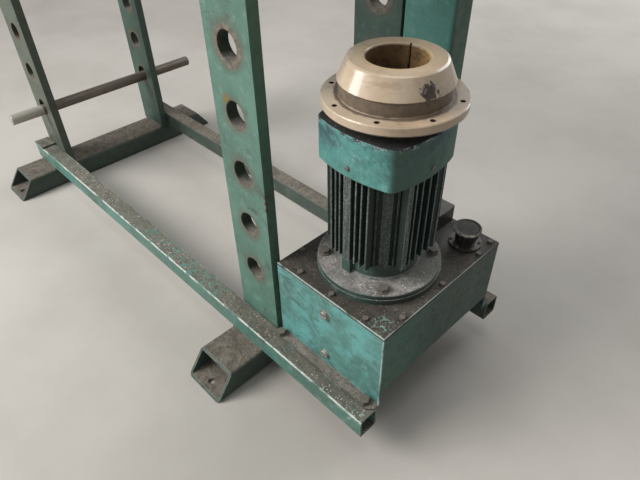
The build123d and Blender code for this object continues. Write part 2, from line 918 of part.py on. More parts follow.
def make_lid():
    """The tank's cover plate with its openings for the pump, the filler and the pipes."""
    lid = block(tank_left, tank_right, tank_front, tank_back, lid_bottom, tank_top)
    low = lid_bottom - cut_past
    high = tank_top + cut_past
    lid -= upright_rod(motor_x, motor_y, low, high, carrier_diameter)
    lid -= upright_rod(filler_x, filler_y, low, high, filler_neck_diameter + 2 * bolt_hole_gap)
    lid -= upright_rod(delivery_x, manifold_y, low, high, pipe_diameter + 2 * bolt_hole_gap)
    for x, y in lid_screw_places:
        lid -= upright_rod(x, y, low, high, lid_screw_diameter + bolt_hole_gap)
    return lid


def make_lid_screws():
    """The hexagon screws round the lid."""
    screws = []
    for x, y in lid_screw_places:
        shank = upright_rod(x, y, lid_bottom - tank_sheet, tank_top, lid_screw_diameter)
        head = hexagon(x, y, tank_top, tank_top + lid_screw_head, lid_screw_across_flats)
        screws.append(shank + head)
    return screws


def make_flange_bolts():
    """The four bolts with washers that hold the tank's flanges to the rails."""
    bolts = []
    seat = rail_top + tank_sheet
    for side_y in (-1, 1):
        for x in flange_bolt_x:
            y = side_y * flange_bolt_y
            washer_top = seat + flange_bolt_washer_thickness
            shank = upright_rod(x, y, washer_top - flange_bolt_length, washer_top, flange_bolt_diameter)
            washer = upright_rod(x, y, seat, washer_top, flange_bolt_washer)
            head = hexagon(x, y, washer_top, washer_top + flange_bolt_head, flange_bolt_across_flats)
            bolts.append(shank + washer + head)
    return bolts


def make_tank_plugs():
    """The two slotted round plugs with washers in the tank's front."""
    plugs = []
    x = tank_left + tank_plug_from_left
    for height in tank_plug_heights:
        washer_front = tank_front - tank_plug_washer_thickness
        head_front = washer_front - tank_plug_head
        plug = rod_along_y(x, height, washer_front, tank_front, tank_plug_washer)
        head = rod_along_y(x, height, head_front, washer_front, tank_plug_diameter)
        rim = head.edges().filter_by(GeomType.CIRCLE).sort_by(Axis.Y)[0]
        plug += chamfer(rim, tank_plug_edge)
        plug += rod_along_y(x, height, tank_front, tank_front + tank_plug_reach, tank_plug_shank)
        half = tank_plug_slot / 2
        radius = tank_plug_diameter / 2
        slot = block(
            x - radius, x + radius, head_front - cut_past, head_front + tank_plug_slot_depth,
            height - half, height + half,
        )
        plugs.append(plug - slot)
    return Compound(children=plugs)


# Filler and breather

filler_screw_places = [
    polar(filler_screw_circle_diameter / 2, 360 * (n + 0.5) / filler_screw_count)
    for n in range(filler_screw_count)
]


def make_filler_neck():
    """The filler's flange and neck with the strainer basket below."""
    flange = filler_flange_diameter / 2
    neck = filler_neck_diameter / 2
    flange_top = tank_top + filler_flange_thickness
    neck_top = flange_top + filler_neck_height
    basket = tank_top - filler_basket_depth
    body = turned(
        (neck - filler_wall, basket + filler_wall), (neck - filler_wall, neck_top), (neck, neck_top),
        (neck, flange_top), (flange, flange_top), (flange, tank_top), (neck, tank_top),
        (neck, basket), (0, basket), (0, basket + filler_wall),
    )
    return Pos(filler_x, filler_y, 0) * body


def make_filler_screws():
    """The small round-headed screws in the filler's flange."""
    screws = []
    flange_top = tank_top + filler_flange_thickness
    for x, y in filler_screw_places:
        head = turned(
            (0, flange_top), (filler_screw_head_diameter / 2, flange_top),
            (filler_screw_top_diameter / 2, flange_top + filler_screw_side),
            (0, flange_top + filler_screw_head),
        )
        screws.append(Pos(filler_x + x, filler_y + y, 0) * head)
    return screws


def make_tank_bolts():
    """All the screws and bolts of the tank: lid, flanges and filler."""
    return Compound(children=make_lid_screws() + make_flange_bolts() + make_filler_screws())


def make_filler_cap():
    """The breather cap, a dished disc over a narrower skirt with three grip lugs."""
    cap = filler_cap_diameter / 2
    skirt = filler_cap_skirt_diameter / 2
    inner = filler_neck_diameter / 2 + sliding_gap
    neck_top = tank_top + filler_flange_thickness + filler_neck_height
    under = neck_top + sliding_gap
    top = under + filler_cap_height
    skirt_bottom = under - filler_cap_skirt
    body = turned(
        (0, under), (inner, under), (inner, skirt_bottom), (skirt, skirt_bottom), (skirt, under),
        (cap - filler_cap_edge, under), (cap, under + filler_cap_edge), (cap, top - filler_cap_edge),
        (cap - filler_cap_edge, top), (cap - filler_cap_rim, top),
        (cap - 2 * filler_cap_rim, top - filler_cap_dish),
        (0, top - filler_cap_dish),
    )
    for n in range(filler_lug_count):
        angle = 360 * n / filler_lug_count + filler_lug_angle
        lug_x, lug_y = polar(skirt, angle)
        lug = Pos(lug_x, lug_y, under - filler_lug_height / 2) * Rot(0, 0, angle)
        body += lug * Box(2 * filler_lug_reach, filler_lug_width, filler_lug_height)
    return Pos(filler_x, filler_y, 0) * body


# Motor

motor_bolt_places = [polar(motor_bolt_circle_diameter / 2, 45 + 90 * n) for n in range(4)]


def make_mount_ring():
    """The ring between the lid and the motor's flange."""
    outer = mount_ring_diameter / 2
    inner = mount_ring_bore / 2
    ring = turned((inner, tank_top), (outer, tank_top), (outer, motor_seat), (inner, motor_seat))
    for x, y in motor_bolt_places:
        ring -= upright_rod(x, y, tank_top, motor_seat, motor_bolt_diameter)
    return Pos(motor_x, motor_y, 0) * ring


def make_motor_flange():
    """The drive-end shield: a round flange, a neck and the lower bearing's seat."""
    rim = motor_flange_diameter / 2
    neck = motor_neck_diameter / 2
    seat = bearing_outer_diameter / 2
    bore = shaft_diameter / 2 + shaft_hole_gap
    shoulder = frame_bottom - bearing_width
    top = motor_flange_top
    shield = turned(
        (bore, motor_seat), (rim, motor_seat), (rim, top - motor_flange_edge), (rim - motor_flange_edge, top),
        (neck + motor_neck_fillet, top), (neck, top + motor_neck_fillet), (neck, frame_bottom),
        (seat, frame_bottom), (seat, shoulder), (bore, shoulder),
    )
    for x, y in motor_bolt_places:
        hole = motor_bolt_diameter + 2 * bolt_hole_gap
        shield -= upright_rod(x, y, motor_seat - cut_past, top + cut_past, hole)
    half = front_rib_width / 2 + motor_rib_margin
    for turn in (0, 180):
        foot = block(
            front_rib_place - half, front_rib_place + half,
            -fin_tip_distance, motor_rib_overlap - neck, top, frame_bottom,
        )
        shield += Rot(0, 0, turn) * foot
    return Pos(motor_x, motor_y, 0) * shield


def make_motor_bolts():
    """The four hexagon bolts with washers through the motor's flange."""
    bolts = []
    washer_top = motor_flange_top + motor_bolt_washer_thickness
    for x, y in motor_bolt_places:
        shank = upright_rod(x, y, tank_top, washer_top, motor_bolt_diameter)
        washer = upright_rod(x, y, motor_flange_top, washer_top, motor_bolt_washer)
        head = hexagon(x, y, washer_top, washer_top + motor_bolt_head, motor_bolt_across_flats)
        bolts.append(Pos(motor_x, motor_y, 0) * (shank + washer + head))
    return bolts


def fin(place, tip, root_width, tip_width):
    """The section of one cooling fin that runs out from the core along -Y."""
    return Pos(place, 0) * make_face(
        Polyline(
            (-root_width / 2, -frame_bore / 4), (root_width / 2, -frame_bore / 4),
            (tip_width / 2, -tip), (-tip_width / 2, -tip), close=True,
        )
    )


def make_motor_frame():
    """The finned casting: straight fins and a rib on each side, ribs on three corners."""
    section = Circle(frame_core_diameter / 2)
    for quarter in range(4):
        turn = Rot(0, 0, 90 * quarter)
        on_front = quarter % 2 == 0
        places = front_fin_places if on_front else side_fin_places
        for place in places:
            section += turn * fin(place, fin_tip_distance, fin_root_thickness, fin_thickness)
        place = front_rib_place if on_front else side_rib_place
        width = front_rib_width if on_front else side_rib_width
        section += turn * fin(place, fin_tip_distance, width, width)
        if quarter < len(corner_rib_distances):
            corner = Rot(0, 0, 45) * turn
            section += corner * fin(0, corner_rib_distances[quarter], corner_rib_width, corner_rib_width)
            for side in (-1, 1):
                edge = corner * fin(
                    side * corner_fin_place, corner_fin_distances[quarter], fin_root_thickness, fin_thickness
                )
                section += edge
    section -= Circle(frame_bore / 2)
    return Pos(motor_x, motor_y, frame_bottom) * extrude(section, frame_height)


def make_stator():
    """The stator pack with the ends of its windings."""
    outer = frame_bore / 2
    inner = stator_bore / 2
    middle = (frame_bottom + frame_top) / 2
    low = middle - stator_length / 2
    high = middle + stator_length / 2
    coil = outer - winding_gap
    near = inner + slot_depth
    body = turned(
        (inner, low), (near, low), (near, low - winding_overhang), (coil, low - winding_overhang),
        (coil, low), (outer, low), (outer, high), (coil, high), (coil, high + winding_overhang),
        (near, high + winding_overhang), (near, high), (inner, high),
    )
    return Pos(motor_x, motor_y, 0) * body


def make_rotor():
    """The rotor pack on the shaft."""
    outer = stator_bore / 2 - rotor_air_gap
    inner = shaft_diameter / 2
    middle = (frame_bottom + frame_top) / 2
    low = middle - stator_length / 2
    high = middle + stator_length / 2
    return Pos(motor_x, motor_y, 0) * turned((inner, low), (outer, low), (outer, high), (inner, high))


def make_shaft():
    """The motor's shaft from the coupling up to the fan."""
    radius = shaft_diameter / 2
    top = fan_bottom + fan_plate + fan_blade_height
    body = turned(
        (0, shaft_bottom), (radius, shaft_bottom), (radius, top - shaft_hole_gap),
        (radius - shaft_hole_gap, top), (0, top),
    )
    return Pos(motor_x, motor_y, 0) * body


def make_bearings():
    """The two bearings, as closed rings in their seats."""
    inner = shaft_diameter / 2 + running_gap
    outer = bearing_outer_diameter / 2
    rings = []
    for low in (frame_bottom - bearing_width, frame_top):
        high = low + bearing_width
        ring = turned((inner, low), (outer, low), (outer, high), (inner, high))
        rings.append(Pos(motor_x, motor_y, 0) * ring)
    return Compound(children=rings)


def make_rear_shield():
    """The shield on the frame's top, with the upper bearing's seat and four lugs for the cowl."""
    outer = rear_shield_diameter / 2
    seat = bearing_outer_diameter / 2
    bore = shaft_diameter / 2 + shaft_hole_gap
    shoulder = frame_top + bearing_width
    top = shoulder + rear_shield_hub_top
    hub = seat + rear_shield_hub_wall
    shield = turned(
        (seat, frame_top), (outer, frame_top), (outer, rear_shield_top), (hub, rear_shield_top),
        (hub, top), (bore, top), (bore, shoulder), (seat, shoulder),
    )
    reach = cowl_face_distance - cowl_sheet - rest_gap
    half = cowl_lug_width / 2
    for quarter in range(4):
        lug = block(-half, half, -reach, cowl_lug_width - outer, frame_top, rear_shield_top)
        shield += Rot(0, 0, 90 * quarter) * lug
    return Pos(motor_x, motor_y, 0) * shield


def cowl_outline(inset):
    """The squarish outline of the cowl with bulged sides and rounded corners."""
    corner = cowl_corner - inset
    face = cowl_face_distance - inset
    sides = ThreePointArc((-corner, -corner), (0, -face), (corner, -corner))
    sides += ThreePointArc((corner, -corner), (face, 0), (corner, corner))
    sides += ThreePointArc((corner, corner), (0, face), (-corner, corner))
    sides += ThreePointArc((-corner, corner), (-face, 0), (-corner, -corner))
    outline = make_face(sides)
    return fillet(outline.vertices(), cowl_corner_radius - inset)


def make_cowl():
    """The pressed fan cowl with its ring of air slots."""
    shell = extrude(cowl_outline(0), cowl_height)
    shell = fillet(shell.faces().sort_by(Axis.Z)[-1].edges(), cowl_sheet)
    shell -= extrude(cowl_outline(cowl_sheet), cowl_height - cowl_sheet)
    for n in range(cowl_slot_count):
        slot = SlotOverall(cowl_slot_length, cowl_slot_width)
        place = Rot(0, 0, 360 * n / cowl_slot_count) * Pos(cowl_slot_circle_diameter / 2, 0, 0)
        shell -= Pos(0, 0, cowl_height - 2 * cowl_sheet) * place * extrude(slot, 3 * cowl_sheet)
    for quarter in range(4):
        hole = rod_along_y(0, cowl_screw_z - cowl_bottom, -cowl_corner * 2, 0, cowl_screw_diameter)
        shell -= Rot(0, 0, 90 * quarter) * hole
    return Pos(motor_x, motor_y, cowl_bottom) * shell


def make_cowl_screws():
    """The four screws that hold the cowl to the rear shield's lugs."""
    screws = []
    for quarter in range(4):
        face = -cowl_face_distance
        head = rod_along_y(0, cowl_screw_z, face - cowl_screw_head, face, cowl_screw_head_diameter)
        head = chamfer(head.edges().filter_by(GeomType.CIRCLE).sort_by(Axis.Y)[0], cowl_screw_edge)
        shank = rod_along_y(0, cowl_screw_z, face, face + cowl_sheet, cowl_screw_diameter - bolt_hole_gap)
        screws.append(Pos(motor_x, motor_y, 0) * Rot(0, 0, 90 * quarter) * (head + shank))
    return screws


def make_fan():
    """The cooling fan: a hub, a plate and straight blades."""
    hub = fan_hub_diameter / 2
    bore = shaft_diameter / 2
    rim = fan_diameter / 2
    plate_top = fan_bottom + fan_plate
    top = plate_top + fan_blade_height
    fan = turned(
        (bore, fan_bottom), (rim, fan_bottom), (rim, plate_top), (hub, plate_top), (hub, top), (bore, top),
    )
    half = fan_blade_thickness / 2
    for n in range(fan_blade_count):
        blade = block(hub - half, rim - half, -half, half, fan_bottom, top - fan_blade_margin)
        fan += Rot(0, 0, 360 * n / fan_blade_count) * blade
    return Pos(motor_x, motor_y, 0) * fan


def make_terminal_box():
    """The terminal box on the back of the motor, with its cover line and its cable gland."""
    near = motor_y + fin_tip_distance
    far = near + terminal_box_depth
    low = frame_bottom + terminal_box_level
    high = low + terminal_box_height
    half = terminal_box_width / 2
    step = terminal_box_groove
    box = block(motor_x - half, motor_x + half, near, far, low, high)
    box = fillet(box.edges().filter_by(Axis.Y), terminal_box_radius)
    line = far - terminal_box_lid
    around = block(motor_x - half, motor_x + half, line - step, line, low, high)
    kept = block(
        motor_x - half + step, motor_x + half - step, line - step, line, low + step, high - step
    )
    box -= around - kept
    radius = gland_nut_diameter / 2
    seat = low - gland_nut_length
    end = seat - gland_dome_length
    gland = hexagon(0, 0, seat, low, gland_nut_diameter)
    dome = radius - step
    gland += turned((0, end), (gland_bore, end), (dome, seat - gland_depth), (dome, seat), (0, seat))
    gland -= upright_rod(0, 0, end - cut_past, low - gland_depth, gland_bore)
    return box + Pos(motor_x, near + terminal_box_depth / 2 - terminal_box_lid / 2, 0) * gland


def make_ring():
    """The flanged ring that stands on the cowl: a spigot, a drilled flange, a neck and a coned collar."""
    bore = ring_bore / 2
    spigot = ring_spigot_diameter / 2
    flange = ring_flange_diameter / 2
    neck = ring_neck_diameter / 2
    cone = ring_cone_diameter / 2
    top = ring_top_diameter / 2
    z1 = cowl_top + ring_spigot_height
    z2 = z1 + ring_flange_thickness
    z3 = z2 + ring_neck_height
    z4 = z3 + ring_cone_height
    ring = turned(
        (bore, cowl_top), (spigot, cowl_top), (spigot, z1),
        (flange - ring_flange_round, z1), (flange, z1 + ring_flange_round),
        (flange, z2 - ring_edge), (flange - ring_edge, z2), (neck, z2), (neck, z3),
        (cone - ring_edge, z3), (cone, z3 + ring_cone_edge),
        (top + ring_cone_edge, z4 - ring_mouth), (top - ring_edge, z4),
        (bore + ring_mouth, z4), (bore, z4 - ring_mouth),
    )
    for n in range(ring_hole_count):
        x, y = polar(ring_hole_circle_diameter / 2, ring_first_hole_angle + 360 * n / ring_hole_count)
        ring -= upright_rod(x, y, z1 - cut_past, z2 + cut_past, ring_hole_diameter)
    key = Rot(0, 0, ring_key_angle) * block(
        0, bore + ring_key_depth, -ring_key_width / 2, ring_key_width / 2, cowl_top - cut_past, z4 + cut_past
    )
    return Pos(ring_x, ring_y, 0) * (ring - key)


# Pump inside the tank


def make_carrier():
    """The pump carrier that hangs through the lid from the mount ring."""
    flange = carrier_flange_diameter / 2
    outer = carrier_diameter / 2 - bolt_hole_gap
    inner = outer - carrier_wall
    bore = pump_shaft_diameter / 2 + carrier_bore_gap
    flange_bottom = tank_top
    flange_top = flange_bottom + carrier_flange
    floor_top = carrier_bottom + carrier_floor
    body = turned(
        (bore, carrier_bottom), (outer, carrier_bottom), (outer, flange_bottom), (flange, flange_bottom),
        (flange, flange_top), (inner, flange_top), (inner, floor_top), (bore, floor_top),
    )
    window = Pos(0, 0, (floor_top + lid_bottom) / 2) * Box(
        carrier_window, carrier_diameter * 2, lid_bottom - floor_top - carrier_window_margin
    )
    return Pos(motor_x, motor_y, 0) * (body - window)


def coupling_half(low, high, bore, teeth_up):
    """A hub with three claws that reach into the spider."""
    outer = coupling_diameter / 2
    hub = turned((bore, low), (outer, low), (outer, high), (bore, high))
    for n in range(claw_count):
        angle = (n if teeth_up else n + 0.5) * 360 / claw_count
        z0 = high if teeth_up else low - spider_length
        claw = turned_sector(claw_inner_diameter / 2, outer, z0, z0 + spider_length, angle, claw_angle)
        hub += claw
    return hub


def turned_sector(inner, outer, z0, z1, angle, width):
    """A block with round sides: part of a ring about Z."""
    face = Plane.XZ * make_face(Polyline((inner, z0), (outer, z0), (outer, z1), (inner, z1), close=True))
    return Rot(0, 0, angle - width / 2) * revolve(face, Axis.Z, width)


def make_motor_coupling():
    """The coupling half on the motor's shaft."""
    low = motor_coupling_bottom
    half = coupling_half(low, low + motor_coupling_length, shaft_diameter / 2, False)
    return Pos(motor_x, motor_y, 0) * half


def make_spider():
    """The rubber star between the coupling's claws."""
    outer = coupling_diameter / 2 - bolt_hole_gap
    inner = spider_core_diameter / 2 - bolt_hole_gap
    body = upright_rod(0, 0, spider_bottom, motor_coupling_bottom, spider_core_diameter)
    for n in range(2 * claw_count):
        angle = (n + 0.5) * 180 / claw_count
        body += turned_sector(inner, outer, spider_bottom, motor_coupling_bottom, angle, spider_arm_angle)
    return Pos(motor_x, motor_y, 0) * body


def make_pump_coupling():
    """The coupling half on the pump's shaft."""
    half = coupling_half(pump_coupling_bottom, spider_bottom, pump_shaft_diameter / 2, True)
    return Pos(motor_x, motor_y, 0) * half


def involute_angle(radius, base):
    """The angle in radians that an involute from the base circle turns through at a radius."""
    pressure = acos(base / radius)
    return tan(pressure) - pressure


def gear_outline(phase):
    """A spur gear's section with involute flanks."""
    pitch = gear_distance / 2
    root = pitch - gear_dedendum * gear_module
    tip = pitch + gear_addendum * gear_module
    base = pitch * cos(radians(gear_pressure_angle))
    half_tooth = (gear_module * pi / 4 - gear_backlash / 2) / pitch + involute_angle(pitch, base)
    radii = (base, (base + pitch) / 2, pitch, (pitch + tip) / 2, tip)
    flank = [(root, half_tooth)] + [(r, half_tooth - involute_angle(r, base)) for r in radii]
    points = []
    for n in range(gear_teeth):
        middle = phase + 360 * n / gear_teeth
        points += [polar(r, middle - degrees(a)) for r, a in flank]
        points += [polar(r, middle + degrees(a)) for r, a in reversed(flank)]
    return make_face(Polyline(*points, close=True))


def make_drive_gear():
    """The pump's driving gear and its shaft up to the coupling."""
    gear = Pos(0, 0, gear_bottom) * extrude(gear_outline(0), gear_width)
    shaft = upright_rod(0, 0, gear_top, spider_bottom, pump_shaft_diameter)
    return Pos(motor_x, motor_y, 0) * (gear + shaft)


def make_driven_gear():
    """The pump's driven gear with its short journal."""
    gear = Pos(0, 0, gear_bottom) * extrude(gear_outline(180 / gear_teeth), gear_width)
    journal = upright_rod(0, 0, gear_top, gear_top + pump_journal, pump_shaft_diameter)
    return Pos(motor_x - gear_distance, motor_y, 0) * (gear + journal)


def pump_block(z0, z1):
    """A block round both gears, with rounded corners."""
    x0 = -gear_distance - pump_side / 2
    body = block(x0, pump_side / 2, -pump_width / 2, pump_width / 2, z0, z1)
    return fillet(body.edges().filter_by(Axis.Z), pump_corner_radius)


def make_pump_body():
    """The pump's body with its two gear pockets, and the plate that closes it."""
    body = pump_block(pump_bottom, carrier_bottom)
    pocket = gear_distance + 2 * (gear_addendum * gear_module + gear_tip_gap)
    for x in (0, -gear_distance):
        body -= upright_rod(x, 0, pump_bottom - cut_past, gear_top + gear_end_gap, pocket)
    bore = pump_shaft_diameter + 2 * running_gap
    body -= upright_rod(0, 0, gear_top, carrier_bottom + cut_past, bore)
    body -= upright_rod(-gear_distance, 0, gear_top, gear_top + pump_journal + gear_end_gap, bore)
    outlet = pipe_diameter - 2 * pipe_wall
    inlet = suction_diameter - 2 * suction_wall
    body -= rod_along_y(-gear_distance / 2, pump_port_z, 0, pump_width, outlet)
    body -= rod_along_y(-gear_distance / 2, pump_port_z, -pump_width, 0, inlet)
    cover = pump_block(pump_bottom - pump_cover_thickness, pump_bottom)
    return Pos(motor_x, motor_y, 0) * Compound(children=[body, cover])


def make_strainer():
    """The suction strainer on the front of the pump, with its short pipe."""
    face = -pump_width / 2
    pipe_end = face - suction_length
    far = pipe_end - strainer_length
    tube = rod_along_y(0, 0, pipe_end, face, suction_diameter)
    tube += rod_along_y(0, 0, far, pipe_end, strainer_diameter)
    for end in (far - strainer_cap, pipe_end - strainer_cap):
        tube += rod_along_y(0, 0, end, end + strainer_cap, strainer_diameter + 2 * strainer_bead)
    tube -= rod_along_y(0, 0, far + strainer_cap, face + cut_past, suction_diameter - 2 * suction_wall)
    return Pos(motor_x - gear_distance / 2, motor_y, pump_port_z) * tube


delivery_x = motor_x - gear_distance / 2
riser_x = manifold_x - manifold_length / 2 + riser_spacing
pump_port_z = (gear_bottom + gear_top) / 2
cowl_screw_z = frame_top + rear_shield_height / 2
port_face_x = barrel_outer_diameter / 2 - port_face_depth
fan_bottom = frame_top + bearing_width + fan_clearance
retract_port_z = head_bottom + retract_port_rise
extend_port_z = barrel_top + cap_height / 2
valve_bottom = valve_level - valve_height / 2
valve_top = valve_level + valve_height / 2
valve_left = column_x - valve_width / 2 - lever_width / 2
valve_right = valve_left + valve_width
valve_front = column_front - valve_depth
valve_y = column_front - valve_depth / 2
travel = lever_arm * radians(lever_swing)
lever_x = valve_right + spool_inner_neck + lever_thickness / 2 + spool_travel_gap + travel
lever_pivot_z = valve_level - lever_arm
switch_front = column_front - switch_depth


def make_delivery_pipe():
    """The pipe from the pump's outlet up through the lid to the manifold."""
    return pipe(
        (delivery_x, motor_y + pump_width / 2, pump_port_z),
        (delivery_x, manifold_y, pump_port_z),
        (delivery_x, manifold_y, tank_top),
    )


def make_manifold():
    """The drilled block on the lid that the pipes screw into."""
    x0 = manifold_x - manifold_length / 2
    x1 = manifold_x + manifold_length / 2
    y0 = manifold_y - manifold_depth / 2
    y1 = manifold_y + manifold_depth / 2
    body = block(x0, x1, y0, y1, tank_top, manifold_top)
    body = chamfer(body.edges().filter_by(Axis.Z), manifold_chamfer)
    bore = pipe_diameter - 2 * pipe_wall
    top = manifold_top + cut_past
    body -= upright_rod(delivery_x, manifold_y, tank_top - cut_past, manifold_top - manifold_cross_wall, bore)
    for n in range(2):
        port_x = riser_x + n * riser_spacing
        body -= upright_rod(port_x, manifold_y, manifold_top - manifold_port_depth, top, bore)
    return body


def make_riser(n):
    """A pipe from the manifold up inside the column to the valve's underside."""
    x = riser_x + n * riser_spacing
    port_x = column_x + (n - 0.5) * riser_spacing
    turn_z = manifold_top + 1.5 * pipe_bend
    valve_z = valve_level - riser_spacing / 2
    return pipe(
        (x, manifold_y, manifold_top),
        (x, manifold_y, turn_z),
        (port_x, riser_y, turn_z + pipe_bend),
        (port_x, riser_y, valve_z),
        (port_x, column_front, valve_z),
        bend=0.5 * pipe_bend,
    )


def make_cylinder_pipe(n):
    """A pipe from the valve up the column and along the head to a port of the cylinder."""
    port_x = column_x + (n - 0.5) * riser_spacing
    valve_z = valve_level + riser_spacing / 2
    y = (n - 0.5) * riser_spacing
    high = extend_port_z if n else retract_port_z
    return pipe(
        (port_x, column_front, valve_z),
        (port_x, riser_y, valve_z),
        (port_x, riser_y, high),
        (port_x, y, high),
        (port_face_x, y, high),
        bend=0.5 * pipe_bend,
    )


def make_pipes():
    """All the steel pipes: from the pump, up to the valve and on to the cylinder."""
    runs = [make_delivery_pipe()]
    for n in (0, 1):
        runs.append(make_riser(n))
        runs.append(make_cylinder_pipe(n))
    return Compound(children=runs)


# Controls


def make_column():
    """The folded sheet column, open at its back, with a return lip on each side."""
    x0 = column_left
    outline = Rectangle(column_width, column_depth)
    front = outline.vertices().sort_by(Axis.Y)[:2]
    outline = fillet(front, column_bend_radius)
    hollow = Rectangle(column_width - 2 * column_sheet, column_depth - 2 * column_sheet)
    hollow = fillet(hollow.vertices().sort_by(Axis.Y)[:2], column_bend_radius - column_sheet)
    back = Pos(0, column_depth / 2) * Rectangle(column_width - 2 * column_lip, 4 * column_sheet)
    section = outline - hollow - back
    place = Pos(column_x, column_front + column_depth / 2, column_bottom)
    column = place * extrude(section, column_top - column_bottom)
    for level in column_bolt_levels:
        hole = column_bolt_diameter + 2 * bolt_hole_gap
        column -= rod_along_x(column_bolt_y, level, x0 - cut_past, x0 + 2 * column_sheet, hole)
    for n in (0, 1):
        for z in (valve_level - riser_spacing / 2, valve_level + riser_spacing / 2):
            port_x = column_x + (n - 0.5) * riser_spacing
            hole = pipe_diameter + 2 * bolt_hole_gap
            column -= rod_along_y(port_x, z, column_front - cut_past, column_front + 2 * column_sheet, hole)
    return column


def make_column_bolts():
    """The bolts that hold the column to the upright's edge, each with a spacer between them."""
    pieces = []
    for level in column_bolt_levels:
        inside = column_left + column_sheet
        tip = upright_right - column_bolt_depth
        bolt = rod_along_x(column_bolt_y, level, tip, inside, column_bolt_diameter)
        head = rod_along_x(column_bolt_y, level, inside, inside + column_bolt_head, column_bolt_head_diameter)
        spacer = rod_along_x(column_bolt_y, level, upright_right, column_left, column_spacer_diameter)
        pieces.append(bolt + head + spacer)
    return Compound(children=pieces)


def make_valve_body():
    """The hand valve's body with its spool bore and the bracket that carries the lever's pin."""
    body = block(valve_left, valve_right, valve_front, column_front, valve_bottom, valve_top)
    body = fillet(body.edges().filter_by(Axis.X), valve_edge_radius)
    bore = spool_diameter + 2 * running_gap
    body -= rod_along_x(valve_y, valve_level, valve_left + spool_end_wall, valve_right + cut_past, bore)
    reach = lever_x + lever_thickness / 2 + ear_margin
    for side in (-1, 1):
        near = side * (lever_width / 2 + bracket_gap)
        far = side * (lever_width / 2 + bracket_gap + bracket_thickness)
        y = sorted((valve_y + near, valve_y + far))
        body += block(
            valve_right - bracket_gap, reach, y[0], y[1],
            lever_pivot_z - 2 * ear_margin, lever_pivot_z + ear_margin,
        )
    half = lever_width / 2 + bracket_gap + bracket_thickness
    pin = rod_along_y(lever_x, lever_pivot_z, valve_y - half, valve_y + half, lever_pin_diameter)
    return body + pin


def make_spool():
    """The valve's spool, with the necked end that the lever moves."""
    inner = lever_x - lever_thickness / 2 - spool_travel_gap
    outer = lever_x + lever_thickness / 2 + spool_travel_gap
    left = valve_left + spool_end_wall + travel + spool_end_gap
    lands = rod_along_x(valve_y, valve_level, left, inner, spool_diameter)
    for share in spool_groove_places:
        x = left + share * (inner - left)
        end = x + spool_groove
        ring = rod_along_x(valve_y, valve_level, x, end, spool_diameter + 2 * cut_past)
        core = rod_along_x(valve_y, valve_level, x - cut_past, end + cut_past, spool_neck_diameter)
        lands -= ring - core
    neck = rod_along_x(valve_y, valve_level, inner, outer, spool_neck_diameter)
    collar = rod_along_x(valve_y, valve_level, outer, outer + spool_collar, spool_collar_diameter)
    return lands + neck + collar


def make_lever():
    """The lever: a flat fork that turns on its pin, with a round rod above."""
    half_t = lever_thickness / 2
    half_w = lever_width / 2
    fork_top = valve_level + spool_neck_diameter + lever_above_slot
    plate = block(
        lever_x - half_t, lever_x + half_t, valve_y - half_w, valve_y + half_w,
        lever_pivot_z - lever_below_pin, fork_top,
    )
    plate = fillet(plate.edges().filter_by(Axis.X), lever_corner_radius)
    slot_half = spool_neck_diameter / 2 + lever_slot_gap
    slot_reach = slot_half + lever_slot_extra
    slot = block(
        lever_x - lever_thickness, lever_x + lever_thickness, valve_y - slot_half, valve_y + slot_half,
        valve_level - slot_reach, valve_level + slot_reach,
    )
    hole = lever_pin_diameter + 2 * running_gap
    plate -= slot
    plate -= rod_along_y(lever_x, lever_pivot_z, valve_front, column_front, hole)
    top = lever_pivot_z + lever_length
    rod = upright_rod(lever_x, valve_y, fork_top, top, lever_rod_diameter)
    knob = Pos(lever_x, valve_y, top) * Sphere(knob_diameter / 2)
    return plate + rod + knob


def button_z(n):
    """The height of a button's axis: 0 is stop, 1 is start."""
    return switch_level + (n - 0.5) * button_spacing


def make_switch_box():
    """The housing of the start and stop buttons."""
    half = switch_width / 2
    low = switch_level - switch_height / 2
    high = switch_level + switch_height / 2
    box = block(column_x - half, column_x + half, switch_front, column_front, low, high)
    box = fillet(box.edges().filter_by(Axis.Y), switch_edge_radius)
    wall = switch_wall
    box -= block(
        column_x - half + wall, column_x + half - wall, switch_front + wall, column_front - wall,
        low + wall, high - wall,
    )
    for n in range(2):
        hole = button_stem_diameter + 2 * sliding_gap
        end = switch_front + wall + cut_past
        box -= rod_along_y(column_x, button_z(n), switch_front - cut_past, end, hole)
    return box


def make_button(n):
    """A push button: a domed cap on a stem through the box's front."""
    width = button_diameter if n else stop_button_diameter
    back = switch_front - button_travel - sliding_gap
    front = back - button_reach
    cap = rod_along_y(column_x, button_z(n), front, back, width)
    cap = fillet(cap.edges().filter_by(GeomType.CIRCLE).sort_by(Axis.Y)[0], button_edge_radius)
    return cap + rod_along_y(column_x, button_z(n), back, back + button_stem_length, button_stem_diameter)


def make_gauge_case():
    """The gauge's case with its dial, its spindle and the stem on the column."""
    outer = gauge_diameter / 2
    inner = outer - gauge_wall
    depth = gauge_depth
    rim_back = depth - gauge_rim_width
    case = turned(
        (0, 0), (outer, 0), (outer, rim_back), (outer + gauge_rim, rim_back), (outer + gauge_rim, depth),
        (inner, depth), (inner, depth / 2), (0, depth / 2),
    )
    face = depth / 2 + gauge_dial
    case += upright_rod(0, 0, depth / 2, face, 2 * inner - gauge_rim)
    case += upright_rod(0, 0, face, face + gauge_spindle_height, gauge_spindle_diameter)
    return Pos(column_x, column_front, gauge_level) * Rot(90, 0, 0) * case


